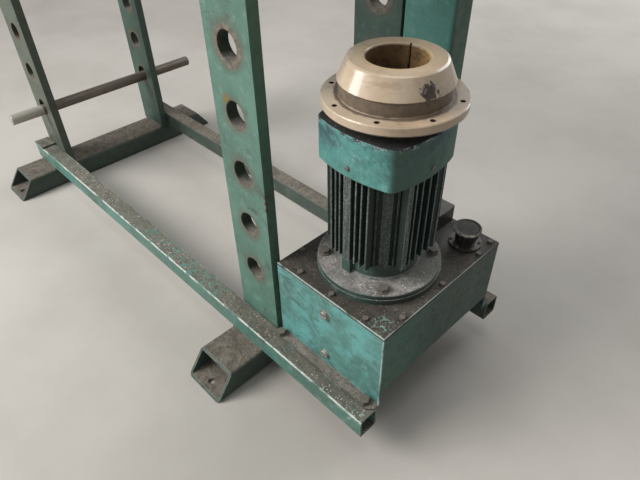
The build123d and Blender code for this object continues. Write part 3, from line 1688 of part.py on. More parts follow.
def make_gauge_pointer():
    """The gauge's pointer, balanced by its tail."""
    face = gauge_depth / 2 + gauge_dial + sliding_gap
    half = gauge_pointer_width / 2
    tip = gauge_pointer_tip / 2
    shape = make_face(
        Polyline(
            (-gauge_pointer_tail, -2 * half), (0, -half), (gauge_pointer_length, -tip),
            (gauge_pointer_length, tip), (0, half), (-gauge_pointer_tail, 2 * half), close=True,
        )
    )
    shape += Circle(gauge_spindle_diameter / 2 + gauge_pointer_hub)
    shape -= Circle(gauge_spindle_diameter / 2 + running_gap)
    body = Pos(0, 0, face) * extrude(shape, gauge_pointer_thickness)
    turn = Rot(0, 0, gauge_start_angle)
    return Pos(column_x, column_front, gauge_level) * Rot(90, 0, 0) * turn * body


def make_gauge_glass():
    """The gauge's window."""
    radius = gauge_diameter / 2 - gauge_wall
    front = gauge_depth - gauge_glass_depth
    window = upright_rod(0, 0, front - gauge_glass, front, 2 * radius)
    return Pos(column_x, column_front, gauge_level) * Rot(90, 0, 0) * window


parts = {
    "front_left_upright": make_upright(-1, -1),
    "back_left_upright": make_upright(-1, 1),
    "front_right_upright": make_upright(1, -1),
    "back_right_upright": make_upright(1, 1),
    "left_foot": make_foot(-1),
    "right_foot": make_foot(1),
    "front_rail": Compound(children=[make_rail(-1), make_rail_pad()]),
    "back_rail": make_rail(1),
    "support_bar": make_support_bar(),
    "bed_pins": Compound(children=[make_bed_pin(-1), make_bed_pin(1)]),
    "press_bed": make_bed(),
    "front_head_channel": make_head_channel(-1),
    "back_head_channel": make_head_channel(1),
    "head_bolts": make_head_bolts(),
    "cylinder_plate": make_cylinder_plate(),
    "cylinder_barrel": make_barrel(),
    "cylinder_gland": make_gland(),
    "rod_seal": make_rod_seal(),
    "cylinder_cap": make_cylinder_cap(),
    "ram": make_ram(),
    "piston": Compound(children=[make_piston(), make_piston_seal()]),
    "ram_nose": make_nose(),
    "oil_tank": make_tank(),
    "tank_lid": make_lid(),
    "tank_bolts": make_tank_bolts(),
    "tank_plugs": make_tank_plugs(),
    "filler_neck": make_filler_neck(),
    "filler_cap": make_filler_cap(),
    "mount_ring": make_mount_ring(),
    "motor_flange": make_motor_flange(),
    "motor_screws": Compound(children=make_motor_bolts() + make_cowl_screws()),
    "motor_frame": make_motor_frame(),
    "stator": make_stator(),
    "rotor": Compound(children=[make_rotor(), make_shaft()]),
    "motor_bearings": make_bearings(),
    "rear_shield": make_rear_shield(),
    "fan": make_fan(),
    "fan_cowl": make_cowl(),
    "terminal_box": make_terminal_box(),
    "flanged_ring": make_ring(),
    "pump_carrier": make_carrier(),
    "shaft_couplings": Compound(children=[make_motor_coupling(), make_pump_coupling()]),
    "coupling_spider": make_spider(),
    "pump_body": make_pump_body(),
    "pump_drive_gear": make_drive_gear(),
    "pump_driven_gear": make_driven_gear(),
    "suction_strainer": make_strainer(),
    "manifold_block": make_manifold(),
    "oil_pipes": make_pipes(),
    "control_column": make_column(),
    "column_bolts": make_column_bolts(),
    "valve_body": make_valve_body(),
    "valve_spool": make_spool(),
    "valve_lever": make_lever(),
    "switch_box": make_switch_box(),
    "start_button": make_button(1),
    "stop_button": make_button(0),
    "gauge_case": make_gauge_case(),
    "gauge_pointer": make_gauge_pointer(),
    "gauge_glass": make_gauge_glass(),
}

os.makedirs("parts", exist_ok=True)
for name, shape in parts.items():
    export_step(shape, f"parts/{name}.step")
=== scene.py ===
import logging
import math
from collections.abc import Sequence
from dataclasses import dataclass
from enum import Enum
from typing import Any

import bmesh
import bpy
from mathutils import Matrix, Vector


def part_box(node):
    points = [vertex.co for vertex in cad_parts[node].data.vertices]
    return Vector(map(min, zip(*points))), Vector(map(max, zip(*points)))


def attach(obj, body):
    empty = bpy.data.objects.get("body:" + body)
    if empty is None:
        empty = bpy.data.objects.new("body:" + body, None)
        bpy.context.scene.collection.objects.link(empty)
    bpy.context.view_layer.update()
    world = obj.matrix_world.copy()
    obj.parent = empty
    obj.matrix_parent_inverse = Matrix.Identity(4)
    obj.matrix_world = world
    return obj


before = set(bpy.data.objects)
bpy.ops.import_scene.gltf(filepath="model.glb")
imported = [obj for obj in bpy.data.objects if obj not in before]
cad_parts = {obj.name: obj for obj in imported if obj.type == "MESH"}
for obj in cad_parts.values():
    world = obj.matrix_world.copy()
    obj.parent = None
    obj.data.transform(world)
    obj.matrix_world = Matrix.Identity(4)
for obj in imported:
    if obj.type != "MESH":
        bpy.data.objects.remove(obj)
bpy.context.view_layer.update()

log = logging.getLogger("press")

Colour = tuple[float, float, float]
Point = tuple[float, float, float]
Tint = Colour | bpy.types.NodeSocket

# The rails' upper faces, which carry the tank, in metres of the shared frame.
RAIL_TOP = 0.142


def opaque(colour: Colour) -> tuple[float, float, float, float]:
    """Give a colour its alpha of one."""
    return (colour[0], colour[1], colour[2], 1.0)


def shade(colour: Colour, factor: float, lift: float = 0.0) -> Colour:
    """Make a darker or paler shade of a colour."""
    red, green, blue = (min(1.0, part * factor + lift) for part in colour)
    return (red, green, blue)


class Ends(Enum):
    """Which end of the press a piece belongs to."""

    LEFT = -1
    RIGHT = 1


class Sides(Enum):
    """Which side of the press a piece belongs to."""

    FRONT = -1
    BACK = 1


class Axis(Enum):
    """Which way a straight edge runs."""

    X = 0
    Y = 1
    Z = 2


class Value:
    """A number on a wire of the shader, with Python's operators."""

    def __init__(self, net: "Net", socket: bpy.types.NodeSocket) -> None:
        """Wrap one output socket."""
        self.net = net
        self.socket = socket

    def maths(self, operation: str, other: "Value | float" = 0.0, swap: bool = False) -> "Value":
        """Join this number to another through a Math node.

        Args:
            operation: The Math node's operation.
            other: The second number or wire.
            swap: Whether the other one comes first.

        Returns:
            The node's result.
        """
        pair = (other, self) if swap else (self, other)
        made = self.net.node("ShaderNodeMath", {"operation": operation}, {0: pair[0], 1: pair[1]})
        return Value(self.net, made.outputs[0])

    def __add__(self, other: "Value | float") -> "Value":
        """Add."""
        return self.maths("ADD", other)

    __radd__ = __add__

    def __sub__(self, other: "Value | float") -> "Value":
        """Take away."""
        return self.maths("SUBTRACT", other)

    def __rsub__(self, other: "Value | float") -> "Value":
        """Take this from the other."""
        return self.maths("SUBTRACT", other, swap=True)

    def __mul__(self, other: "Value | float") -> "Value":
        """Multiply."""
        return self.maths("MULTIPLY", other)

    __rmul__ = __mul__

    def __truediv__(self, other: "Value | float") -> "Value":
        """Divide."""
        return self.maths("DIVIDE", other)

    def __abs__(self) -> "Value":
        """Drop the sign."""
        return self.maths("ABSOLUTE")

    def __or__(self, other: "Value | float") -> "Value":
        """Keep the larger of two masks."""
        return self.maths("MAXIMUM", other)

    def __and__(self, other: "Value | float") -> "Value":
        """Keep the smaller of two masks."""
        return self.maths("MINIMUM", other)

    def slant(self, other: "Value") -> "Value":
        """Measure the slanting line over this leg and another."""
        return (self * self + other * other).maths("SQRT")

    def wrap(self) -> "Value":
        """Keep the part after the point."""
        return self.maths("FRACT")

    def rise(self, low: float, high: float) -> "Value":
        """Go smoothly from 0 at low to 1 at high.

        Args:
            low: Where the mask is 0.
            high: Where the mask is 1; below low, the mask falls instead.

        Returns:
            The mask.
        """
        made = self.net.node(
            "ShaderNodeMapRange",
            {"interpolation_type": "SMOOTHSTEP"},
            {"Value": self, "From Min": low, "From Max": high, "To Min": 0.0, "To Max": 1.0},
        )
        return Value(self.net, made.outputs["Result"])

    def band(self, low: float, high: float, soft: float) -> "Value":
        """Make a mask that is 1 between low and high, with soft edges."""
        return self.rise(low - soft, low + soft) * self.rise(high + soft, high - soft)


class Net:
    """The node tree of one finish, or of the sky."""

    def __init__(self, owner: bpy.types.Material | bpy.types.World) -> None:
        """Start on the owner's emptied tree.

        Args:
            owner: The material or world that the tree belongs to.
        """
        owner.use_nodes = True
        self.owner = owner
        self.tree = owner.node_tree
        self.tree.nodes.clear()
        self.kept: dict[str, Any] = {}

    def node(
        self,
        kind: str,
        settings: dict[str, Any] | None = None,
        sockets: dict[str | int, Any] | None = None,
    ) -> bpy.types.Node:
        """Make any node.

        Args:
            kind: The node's type.
            settings: Its settings, which are set before its inputs.
            sockets: Values or wires of its inputs, by name or number.

        Returns:
            The new node.
        """
        made = self.tree.nodes.new(kind)
        for key, value in (settings or {}).items():
            setattr(made, key, value)
        for key, value in (sockets or {}).items():
            self.join(made.inputs[key], value)
        return made

    def join(self, socket: bpy.types.NodeSocket, value: Any) -> None:
        """Set a socket to a value, or lead a wire to it.

        Args:
            socket: The input.
            value: A plain value, a wire or a wrapped wire.
        """
        value = value.socket if isinstance(value, Value) else value
        if isinstance(value, bpy.types.NodeSocket):
            self.tree.links.new(value, socket)
        else:
            socket.default_value = value

    def place(self) -> bpy.types.NodeSocket:
        """Give the point on the piece.

        Returns:
            The point, in metres of the shared frame.
        """
        if "place" not in self.kept:
            self.kept["place"] = self.node("ShaderNodeTexCoord").outputs["Object"]
        return self.kept["place"]

    def parts(self, key: str, vector: bpy.types.NodeSocket) -> tuple[Value, Value, Value]:
        """Split a vector into its three numbers, once for each key.

        Args:
            key: The name that the numbers are kept under.
            vector: The vector.

        Returns:
            The three numbers.
        """
        if key not in self.kept:
            split = self.node("ShaderNodeSeparateXYZ", None, {0: vector})
            self.kept[key] = tuple(Value(self, out) for out in split.outputs)
        return self.kept[key]

    def xyz(self) -> tuple[Value, Value, Value]:
        """Give the point's x, y and z."""
        return self.parts("xyz", self.place())

    def facing(self) -> tuple[Value, Value, Value]:
        """Give the way the surface faces.

        Returns:
            The normal's x, y and z.
        """
        if "normal" not in self.kept:
            self.kept["normal"] = self.node("ShaderNodeTexCoord").outputs["Normal"]
        return self.parts("facing", self.kept["normal"])

    def away(self, centre: Point) -> Value:
        """Measure how far the point lies from a centre.

        Args:
            centre: The centre, in metres of the shared frame.

        Returns:
            The distance in metres.
        """
        sockets = {0: self.place(), 1: centre}
        made = self.node("ShaderNodeVectorMath", {"operation": "DISTANCE"}, sockets)
        return Value(self, made.outputs["Value"])

    def stretched(self, scale: Point, turn: Point = (0.0, 0.0, 0.0)) -> bpy.types.NodeSocket:
        """Give the point stretched along the axes, for streaks.

        Args:
            scale: How much each axis is stretched.
            turn: The turn of the streaks about each axis, in radians.

        Returns:
            The stretched point.
        """
        sockets = {"Vector": self.place(), "Scale": scale, "Rotation": turn}
        return self.node("ShaderNodeMapping", {"vector_type": "POINT"}, sockets).outputs[0]

    def noise(
        self,
        scale: float,
        detail: float = 3.0,
        rough: float = 0.55,
        warp: float = 0.0,
        vector: bpy.types.NodeSocket | None = None,
    ) -> Value:
        """Make cloudy noise.

        Args:
            scale: Clouds per metre.
            detail: How many finer layers it has.
            rough: How strong the finer layers are.
            warp: How much it is bent.
            vector: The point it reads, if not the piece's own.

        Returns:
            The noise, from 0 to 1.
        """
        made = self.node(
            "ShaderNodeTexNoise",
            {"noise_dimensions": "3D"},
            {
                "Vector": vector or self.place(), "Scale": scale, "Detail": detail,
                "Roughness": rough, "Distortion": warp,
            },
        )
        return Value(self, made.outputs[0])

    def cells(self, scale: float) -> Value:
        """Make the distance to the nearest of many scattered points.

        Args:
            scale: Points per metre.

        Returns:
            The distance, as a share of the spacing.
        """
        sockets = {"Vector": self.place(), "Scale": scale}
        made = self.node("ShaderNodeTexVoronoi", {"feature": "F1"}, sockets)
        return Value(self, made.outputs["Distance"])

    def blend(self, mask: Value | float, first: Tint, second: Tint) -> bpy.types.NodeSocket:
        """Mix two colours by a mask.

        Args:
            mask: How much of the second shows.
            first: The colour or wire below.
            second: The colour or wire above.

        Returns:
            The mixed colour.
        """
        below, above = (opaque(c) if isinstance(c, tuple) else c for c in (first, second))
        made = self.node(
            "ShaderNodeMix",
            {"data_type": "RGBA", "blend_type": "MIX", "clamp_factor": True},
            {0: mask, 6: below, 7: above},
        )
        return made.outputs[2]

    def edge(self, radius: float) -> Value:
        """Find sharp edges by how far a rounded normal leans from the flat one.

        Args:
            radius: The rounding, in metres.

        Returns:
            How far the rounded normal leans, 0 on a flat face.
        """
        soft = self.node("ShaderNodeBevel", {"samples": 4}, {"Radius": radius})
        flat = self.node("ShaderNodeNewGeometry")
        sockets = {0: soft.outputs[0], 1: flat.outputs["Normal"]}
        lean = self.node("ShaderNodeVectorMath", {"operation": "DOT_PRODUCT"}, sockets)
        self.kept["rounded"] = soft.outputs[0]
        return 1.0 - Value(self, lean.outputs["Value"])

    def relief(self, height: Value, depth: float) -> bpy.types.NodeSocket:
        """Turn a height into a bumped normal over the rounded one.

        Args:
            height: The height, from 0 to 1.
            depth: How many metres a height of 1 stands out.

        Returns:
            The normal.
        """
        sockets: dict[str | int, Any] = {"Height": height, "Distance": depth, "Strength": 1.0}
        if "rounded" in self.kept:
            sockets["Normal"] = self.kept["rounded"]
        return self.node("ShaderNodeBump", None, sockets).outputs[0]

    def finish(self, **sockets: Any) -> bpy.types.Material:
        """Close the tree with a Principled surface.

        Args:
            **sockets: Inputs by name, with underscores for spaces.

        Returns:
            The material.
        """
        named = {key.replace("_", " "): value for key, value in sockets.items()}
        for key, value in named.items():
            if isinstance(value, tuple) and "Color" in key:
                named[key] = opaque(value)
        surface = self.node("ShaderNodeBsdfPrincipled", None, named)
        self.node("ShaderNodeOutputMaterial", None, {"Surface": surface.outputs[0]})
        return self.owner


def finish_net(name: str) -> Net:
    """Start the tree of a new finish."""
    return Net(bpy.data.materials.new(name))


class Mark:
    """Something that the years left on one piece, over its paint or over the dust as well."""

    over_dust: bool = False

    def lay(self, net: Net, colour: Tint, rough: Value) -> tuple[Tint, Value]:
        """Lay the mark over a colour and a roughness."""
        return colour, rough


@dataclass(frozen=True)
class HoleRims(Mark):
    """Rubbed, rusty rings round the pin holes of an upright, and their dark brown bores in painted
    shade, painted lighter on their upward-facing floor.
    """

    x: float
    first: float = 0.3186
    pitch: float = 0.1487
    radius: float = 0.0315
    reach: float = 0.0028
    wide: float = 0.0105
    wide_from: float = 0.80

    def lay(self, net: Net, colour: Tint, rough: Value) -> tuple[Tint, Value]:
        """Lay the rings over the paint, wide ones on the upper holes and thin ones below.

        Args:
            net: The tree of the piece's finish.
            colour: The colour below the mark.
            rough: The roughness below the mark.

        Returns:
            The colour and the roughness with the mark on them.
        """
        x, _, z = net.xyz()
        _, side, lift = net.facing()
        # Half a pitch, and enough whole ones to stay above zero at the floor.
        turn = ((z - self.first) / self.pitch + 20.5).wrap() - 0.5
        rise = turn * self.pitch
        across = x - self.x
        far = rise.slant(across)
        lowest = self.first - self.pitch * 0.5
        here = z.rise(lowest, lowest + 0.001)
        face = abs(side).rise(0.5, 0.9) * here
        ragged = (net.noise(34.0, 4.0, 0.6) - 0.5) * 0.010 + (net.noise(5.3, 1.0) - 0.5) * 0.016
        upper = z.rise(self.wide_from, self.wide_from + 0.09) * self.wide
        outer = upper + (self.radius + self.reach) - rise * 0.05 + across * 0.05
        ring = (far - ragged - outer).rise(0.0012, -0.0022)
        lip = far.rise(self.radius + 0.0034, self.radius + 0.0012)
        halo = (far - ragged * 2.0 - upper).rise(self.radius + 0.026, self.radius + 0.002)
        bore = far.rise(self.radius + 0.0006, self.radius - 0.0004) * here
        specks = net.noise(75.0, 5.0, 0.7)
        worn = net.blend(specks.rise(0.42, 0.62), (0.100, 0.088, 0.066), (0.175, 0.152, 0.118))
        rusty = net.blend(specks.rise(0.38, 0.60), (0.060, 0.036, 0.018), (0.120, 0.068, 0.026))
        colour = net.blend(halo * 0.55 * face, colour, (0.088, 0.082, 0.052))
        colour = net.blend(ring * face, colour, worn)
        colour = net.blend(lip * face * net.noise(60.0, 3.0).rise(0.40, 0.52) * 0.8, colour, rusty)
        # The bore's wall is dark as painted shade, and its upward-facing floor is paler as painted
        # light.
        shaded_bore_wall = net.blend(specks.rise(0.4, 0.6), (0.016, 0.013, 0.010), (0.036, 0.028, 0.021))
        lit_bore_floor = net.blend(specks.rise(0.4, 0.6), (0.100, 0.078, 0.066), (0.17, 0.138, 0.120))
        shaded_bore_wall = net.blend(lift.rise(0.62, 0.95), shaded_bore_wall, lit_bore_floor)
        return net.blend(bore, colour, shaded_bore_wall), rough + ring * 0.08 + bore * 0.3


@dataclass(frozen=True)
class RustPatch(Mark):
    """A brown patch with flaked edges round one point."""

    centre: Point
    radius: float
    tone: Colour = (0.16, 0.080, 0.022)
    cover: float = 0.9

    def lay(self, net: Net, colour: Tint, rough: Value) -> tuple[Tint, Value]:
        """Lay the patch over the paint.

        Args:
            net: The tree of the piece's finish.
            colour: The colour below the mark.
            rough: The roughness below the mark.

        Returns:
            The colour and the roughness with the mark on them.
        """
        far = net.away(self.centre) + (net.noise(70.0, 5.0, 0.7) - 0.5) * self.radius * 1.9
        patch = far.rise(self.radius, self.radius * 0.55) * self.cover
        grain = net.noise(160.0, 3.0)
        tone = net.blend(grain.rise(0.35, 0.7), self.tone, shade(self.tone, 2.1))
        return net.blend(patch, colour, tone), rough + patch * 0.25


@dataclass(frozen=True)
class PaintChips(Mark):
    """Bright flakes of paint that show through the dirt round one point."""

    centre: Point
    radius: float
    paint: Colour = (0.15, 0.40, 0.31)
    fine: float = 105.0
    cover: float = 0.535
    over_dust: bool = True

    def lay(self, net: Net, colour: Tint, rough: Value) -> tuple[Tint, Value]:
        """Lay the flakes over the dirt.

        Args:
            net: The tree of the piece's finish.
            colour: The colour below the mark.
            rough: The roughness below the mark.

        Returns:
            The colour and the roughness with the mark on them.
        """
        near = net.away(self.centre).rise(self.radius, self.radius * 0.4)
        flakes = net.noise(self.fine, 4.0, 0.65, 0.6).rise(self.cover, self.cover + 0.025)
        return net.blend(near * flakes, colour, self.paint), rough


@dataclass(frozen=True)
class OilStain(Mark):
    """Old oil that has darkened the dust round one point; on the tank and the motor's flange, the
    same dark patch is painted shade.
    """

    centre: Point
    radius: float
    tone: Colour = (0.014, 0.011, 0.007)
    cover: float = 0.85
    ragged: float = 0.7
    over_dust: bool = True

    def lay(self, net: Net, colour: Tint, rough: Value) -> tuple[Tint, Value]:
        """Lay the stain over paint and dust.

        Args:
            net: The tree of the piece's finish.
            colour: The colour below the mark.
            rough: The roughness below the mark.

        Returns:
            The colour and the roughness with the mark on them.
        """
        drift = (net.noise(24.0, 5.0, 0.66) - 0.5) * self.radius * self.ragged
        far = net.away(self.centre) + drift
        dark_patch = far.rise(self.radius * 1.1, self.radius * 0.6) * self.cover
        fine = net.noise(120.0, 4.0, 0.7)
        tone = net.blend(fine.rise(0.48, 0.66), self.tone, shade(self.tone, 2.6))
        return net.blend(dark_patch, colour, tone), rough - dark_patch * 0.22


@dataclass(frozen=True)
class WornLine(Mark):
    """Paint worn pale along one straight edge, in broken lengths."""

    along: Axis
    at: tuple[float, float]
    reach: float = 0.0042
    tone: Colour = (0.50, 0.54, 0.49)
    cover: float = 0.9
    over_dust: bool = True

    def lay(self, net: Net, colour: Tint, rough: Value) -> tuple[Tint, Value]:
        """Lay the line over paint and dust.

        Args:
            net: The tree of the piece's finish.
            colour: The colour below the mark.
            rough: The roughness below the mark.

        Returns:
            The colour and the roughness with the mark on them.
        """
        one, two = (value for axis, value in zip(Axis, net.xyz()) if axis is not self.along)
        drift = (net.noise(48.0, 5.0, 0.75) - 0.5) * self.reach * 2.2
        far = (one - self.at[0]).slant(two - self.at[1]) + drift
        lengths = net.noise(15.0, 3.0).rise(0.36, 0.50)
        worn = far.rise(self.reach, self.reach * 0.55) * lengths * self.cover
        return net.blend(worn, colour, self.tone), rough


@dataclass(frozen=True)
class PolishedEnd(Mark):
    """The bar's end that hands and shoes keep bright."""

    y: float = -0.245
    tone: Colour = (0.46, 0.43, 0.37)

    def lay(self, net: Net, colour: Tint, rough: Value) -> tuple[Tint, Value]:
        """Brighten the bar in front of a plane.

        Args:
            net: The tree of the piece's finish.
            colour: The colour below the mark.
            rough: The roughness below the mark.

        Returns:
            The colour and the roughness with the mark on them.
        """
        _, y, _ = net.xyz()
        drift = (net.noise(60.0, 4.0, 0.6) - 0.5) * 0.006
        rubbed = (y + drift).rise(self.y + 0.002, self.y - 0.004)
        return net.blend(rubbed * 0.85, colour, self.tone), rough - rubbed * 0.12


@dataclass(frozen=True)
class EdgeFlakes(Mark):
    """Paint that has flaked along a top edge, with pale rims round dark bare metal."""

    top: float
    depth: float = 0.012
    bare: Colour = (0.030, 0.034, 0.050)
    rim: Colour = (0.56, 0.58, 0.57)
    soot: Colour = (0.036, 0.070, 0.082)

    def lay(self, net: Net, colour: Tint, rough: Value) -> tuple[Tint, Value]:
        """Lay the flakes over the paint, more of them the nearer they are to the edge.

        Args:
            net: The tree of the piece's finish.
            colour: The colour below the mark.
            rough: The roughness below the mark.

        Returns:
            The colour and the roughness with the mark on them.
        """
        _, _, z = net.xyz()
        near = z.rise(self.top - self.depth, self.top - self.depth * 0.15)
        flakes = net.noise(75.0, 6.0, 0.74, 0.5) + near * 0.19
        hollow = flakes.rise(0.655, 0.680) * net.noise(16.0, 2.0).rise(0.38, 0.50)
        pale = flakes.band(0.628, 0.660, 0.006) * net.noise(40.0, 2.0).rise(0.46, 0.56)
        smudge = net.noise(19.0, 5.0, 0.7, 0.4).rise(0.45, 0.60)
        smudge = smudge * z.rise(self.top - 0.080, self.top - 0.020)
        colour = net.blend(smudge * 0.85, colour, self.soot)
        colour = net.blend(pale * near.rise(0.0, 0.2), colour, self.rim)
        return net.blend(hollow * near.rise(0.0, 0.2), colour, self.bare), rough + hollow * 0.2


@dataclass(frozen=True)
class Rubbed(Mark):
    """Soft dark scuffs and turquoise rubbed patches, drawn out along one slanting way."""

    turn: Point = (0.35, 0.75, 0.2)
    bright: Colour = (0.125, 0.400, 0.385)
    dark: Colour = (0.036, 0.060, 0.052)
    scratch: Colour = (0.22, 0.42, 0.40)

    def lay(self, net: Net, colour: Tint, rough: Value) -> tuple[Tint, Value]:
        """Lay the patches and scuffs over the paint.

        Args:
            net: The tree of the piece's finish.
            colour: The colour below the mark.
            rough: The roughness below the mark.

        Returns:
            The colour and the roughness with the mark on them.
        """
        _, side, _ = net.facing()
        front = (side * -1.0).rise(0.4, 0.8)
        slant = net.stretched((8.0, 8.0, 20.0), self.turn)
        sweep = net.noise(2.1, 8.0, 0.74, 0.6, slant)
        patch = net.noise(9.0, 6.0, 0.66, 0.5)
        fine = net.noise(3.6, 6.0, 0.72, 0.3, slant)
        colour = net.blend(patch.rise(0.44, 0.66) * 0.75 * front, colour, self.bright)
        colour = net.blend(sweep.rise(0.53, 0.64) * 0.55 * front, colour, self.dark)
        streak = abs(fine - 0.5).rise(0.013, 0.003) * patch.rise(0.40, 0.55)
        colour = net.blend(streak * 0.7 * front, colour, self.scratch)
        return colour, rough + sweep.rise(0.535, 0.60) * 0.12


@dataclass(frozen=True)
class FinDepth(Mark):
    """The motor's fins: dark flanks and near-black gaps as painted shade, pale worn tips and a
    speckled grey rib.
    """

    axis: tuple[float, float]
    tip: float = 0.1035
    corner_tip: float = 0.0965

    def lay(self, net: Net, colour: Tint, rough: Value) -> tuple[Tint, Value]:
        """Darken the flanks and the gaps as painted shade, and rub the tips.

        Args:
            net: The tree of the piece's finish.
            colour: The colour below the mark.
            rough: The roughness below the mark.

        Returns:
            The colour and the roughness with the mark on them.
        """
        x, y, _ = net.xyz()
        east, north = abs(x - self.axis[0]), abs(y - self.axis[1])
        square = east | north
        far = east.slant(north)
        slanting = abs(east - north).rise(0.030, 0.022)
        corner = far.rise(self.corner_tip, self.corner_tip + 0.0015) * slanting
        tips = square.rise(self.tip, self.tip + 0.0015) | corner
        depth = square.rise(0.098, 0.070) & (1.0 - slanting * 0.6)
        grain = net.noise(240.0, 4.0, 0.7)
        # Painted shade: the fins' flanks are darkened, and the gaps between them to near black.
        gap_shade = net.blend(grain.rise(0.4, 0.7), (0.0035, 0.0055, 0.0045), (0.009, 0.015, 0.012))
        flank_shade = net.blend(grain.rise(0.42, 0.66), (0.006, 0.014, 0.011), (0.019, 0.036, 0.029))
        colour = net.blend(0.86, colour, flank_shade)
        colour = net.blend(depth, colour, gap_shade)
        streak = net.noise(2.2, 4.0, 0.7, 0.0, net.stretched((90.0, 90.0, 5.0)))
        rubbed = net.blend(grain.rise(0.44, 0.64), (0.048, 0.062, 0.054), (0.205, 0.240, 0.220))
        bright = tips * (streak.rise(0.36, 0.58) * 0.75 + 0.25) * (1.0 - corner * 0.6)
        colour = net.blend(bright, colour, rubbed)
        return colour, rough + depth * 0.15


@dataclass(frozen=True)
class Enamel:
    """Old shop enamel: patchy, scuffed, stained, worn at its edges and dusty on top, with painted
    shade on faces turned towards +X.
    """

    name: str
    coat: Colour
    deep: Colour
    chalk: Colour
    dust: float = 1.0
    wear: float = 1.0
    stain: float = 1.0
    gloss: float = 0.42
    edge: Colour = (0.30, 0.33, 0.29)
    dirt: Colour = (0.200, 0.178, 0.150)
    crumb: Colour = (0.42, 0.40, 0.35)
    # The colour of the painted shade on faces turned towards +X.
    side: Colour = (0.062, 0.086, 0.060)
    litter: float = 0.7
    edge_radius: float = 0.0016
    depth: float = 0.0006

    def material(self, marks: Sequence[Mark] = (), suffix: str = "") -> bpy.types.Material:
        """Build the finish.

        Args:
            marks: What the years left on this piece.
            suffix: A word that keeps the name apart from the plain finish.

        Returns:
            The material.
        """
        net = finish_net(self.name + suffix)
        east, _, up = net.facing()
        clouds = net.noise(5.5, 4.0, 0.6)
        mottle = net.noise(38.0, 5.0, 0.65)
        grain = net.noise(420.0, 2.0, 0.5)
        colour = net.blend(clouds.rise(0.36, 0.66) * 0.75, self.coat, self.deep)
        colour = net.blend(mottle.rise(0.50, 0.72) * 0.55, colour, self.chalk)
        spots = net.noise(95.0, 4.0, 0.7).rise(0.56, 0.70) * 0.45
        colour = net.blend(spots * self.stain, colour, self.deep)
        thin, cut = self.scratches(net)
        colour = net.blend(thin * 0.55, colour, self.chalk)
        stains = net.noise(13.0, 6.0, 0.72, 0.4).rise(0.55, 0.70)
        colour = net.blend(stains * 0.62 * self.stain, colour, (0.050, 0.054, 0.042))
        colour = net.blend(cut * 0.75 * self.stain, colour, (0.030, 0.030, 0.024))
        # Painted shade: faces turned towards +X are darkened to the side colour and made rougher.
        painted_side_shade = east.rise(0.35, 0.80) * (clouds * 0.25 + 0.70)
        painted_side_tone = net.blend(mottle.rise(0.45, 0.68), self.side, shade(self.side, 0.62))
        colour = net.blend(painted_side_shade, colour, painted_side_tone)
        rough = mottle * 0.25 + (self.gloss - 0.10) + stains * 0.12 + painted_side_shade * 0.25
        for mark in marks:
            if not mark.over_dust:
                colour, rough = mark.lay(net, colour, rough)
        lean = net.edge(self.edge_radius)
        worn = lean.rise(0.03, 0.16) * net.noise(46.0, 4.0, 0.7).rise(0.42, 0.56) * self.wear
        colour = net.blend(worn, colour, self.edge)
        lying = (up + (mottle - 0.5) * 0.5).rise(0.55, 0.86) * self.dust
        dirt, crumbs = self.dirt_and_crumbs(net)
        colour = net.blend(lying, colour, dirt)
        rough = rough + lying * 0.42
        for mark in marks:
            if mark.over_dust:
                colour, rough = mark.lay(net, colour, rough)
        height = grain * 0.25 + mottle * 0.45 + crumbs * lying * 1.2 - thin * 0.2 - worn * 0.5
        return net.finish(
            Base_Color=colour, Roughness=rough & 0.96, Normal=net.relief(height, self.depth)
        )

    def scratches(self, net: Net) -> tuple[Value, Value]:
        """Draw two sets of hairlines that run different ways.

        Args:
            net: The tree of the finish.

        Returns:
            The pale hairlines and the dark ones.
        """
        rub = net.noise(7.0, 5.0, 0.72, 0.0, net.stretched((9.0, 9.0, 1.4), (0.5, 0.3, 0.2)))
        thin = abs(rub - 0.52).rise(0.012, 0.002) * net.noise(9.0, 2.0).rise(0.46, 0.60)
        cut = net.noise(8.0, 4.0, 0.7, 0.0, net.stretched((1.2, 7.0, 9.0), (0.2, 0.9, 0.4)))
        return thin, abs(cut - 0.5).rise(0.010, 0.002) * net.noise(12.0, 2.0).rise(0.48, 0.62)

    def dirt_and_crumbs(self, net: Net) -> tuple[Tint, Value]:
        """Strew the dirt that lies on top, with pale crumbs in it.

        Args:
            net: The tree of the finish.

        Returns:
            The dirt's colour and the mask of its crumbs.
        """
        soot = net.noise(26.0, 5.0, 0.7)
        dirt = net.blend(soot.rise(0.38, 0.64), self.dirt, shade(self.dirt, 0.62))
        flecks = net.noise(105.0, 4.0, 0.75).rise(0.50, 0.60)
        dirt = net.blend(flecks * 0.72, dirt, shade(self.dirt, 0.34))
        strewn = net.noise(4.2, 2.0).rise(0.36, 0.62) * 0.10 + net.noise(46.0, 5.0, 0.75)
        size = net.noise(70.0, 1.0) * 0.34 + 0.06
        crumbs = (net.cells(165.0) - size).rise(0.06, -0.04) * strewn.rise(0.560, 0.600)
        crumbs = crumbs * self.litter
        return net.blend(crumbs * 0.9, dirt, self.crumb), crumbs


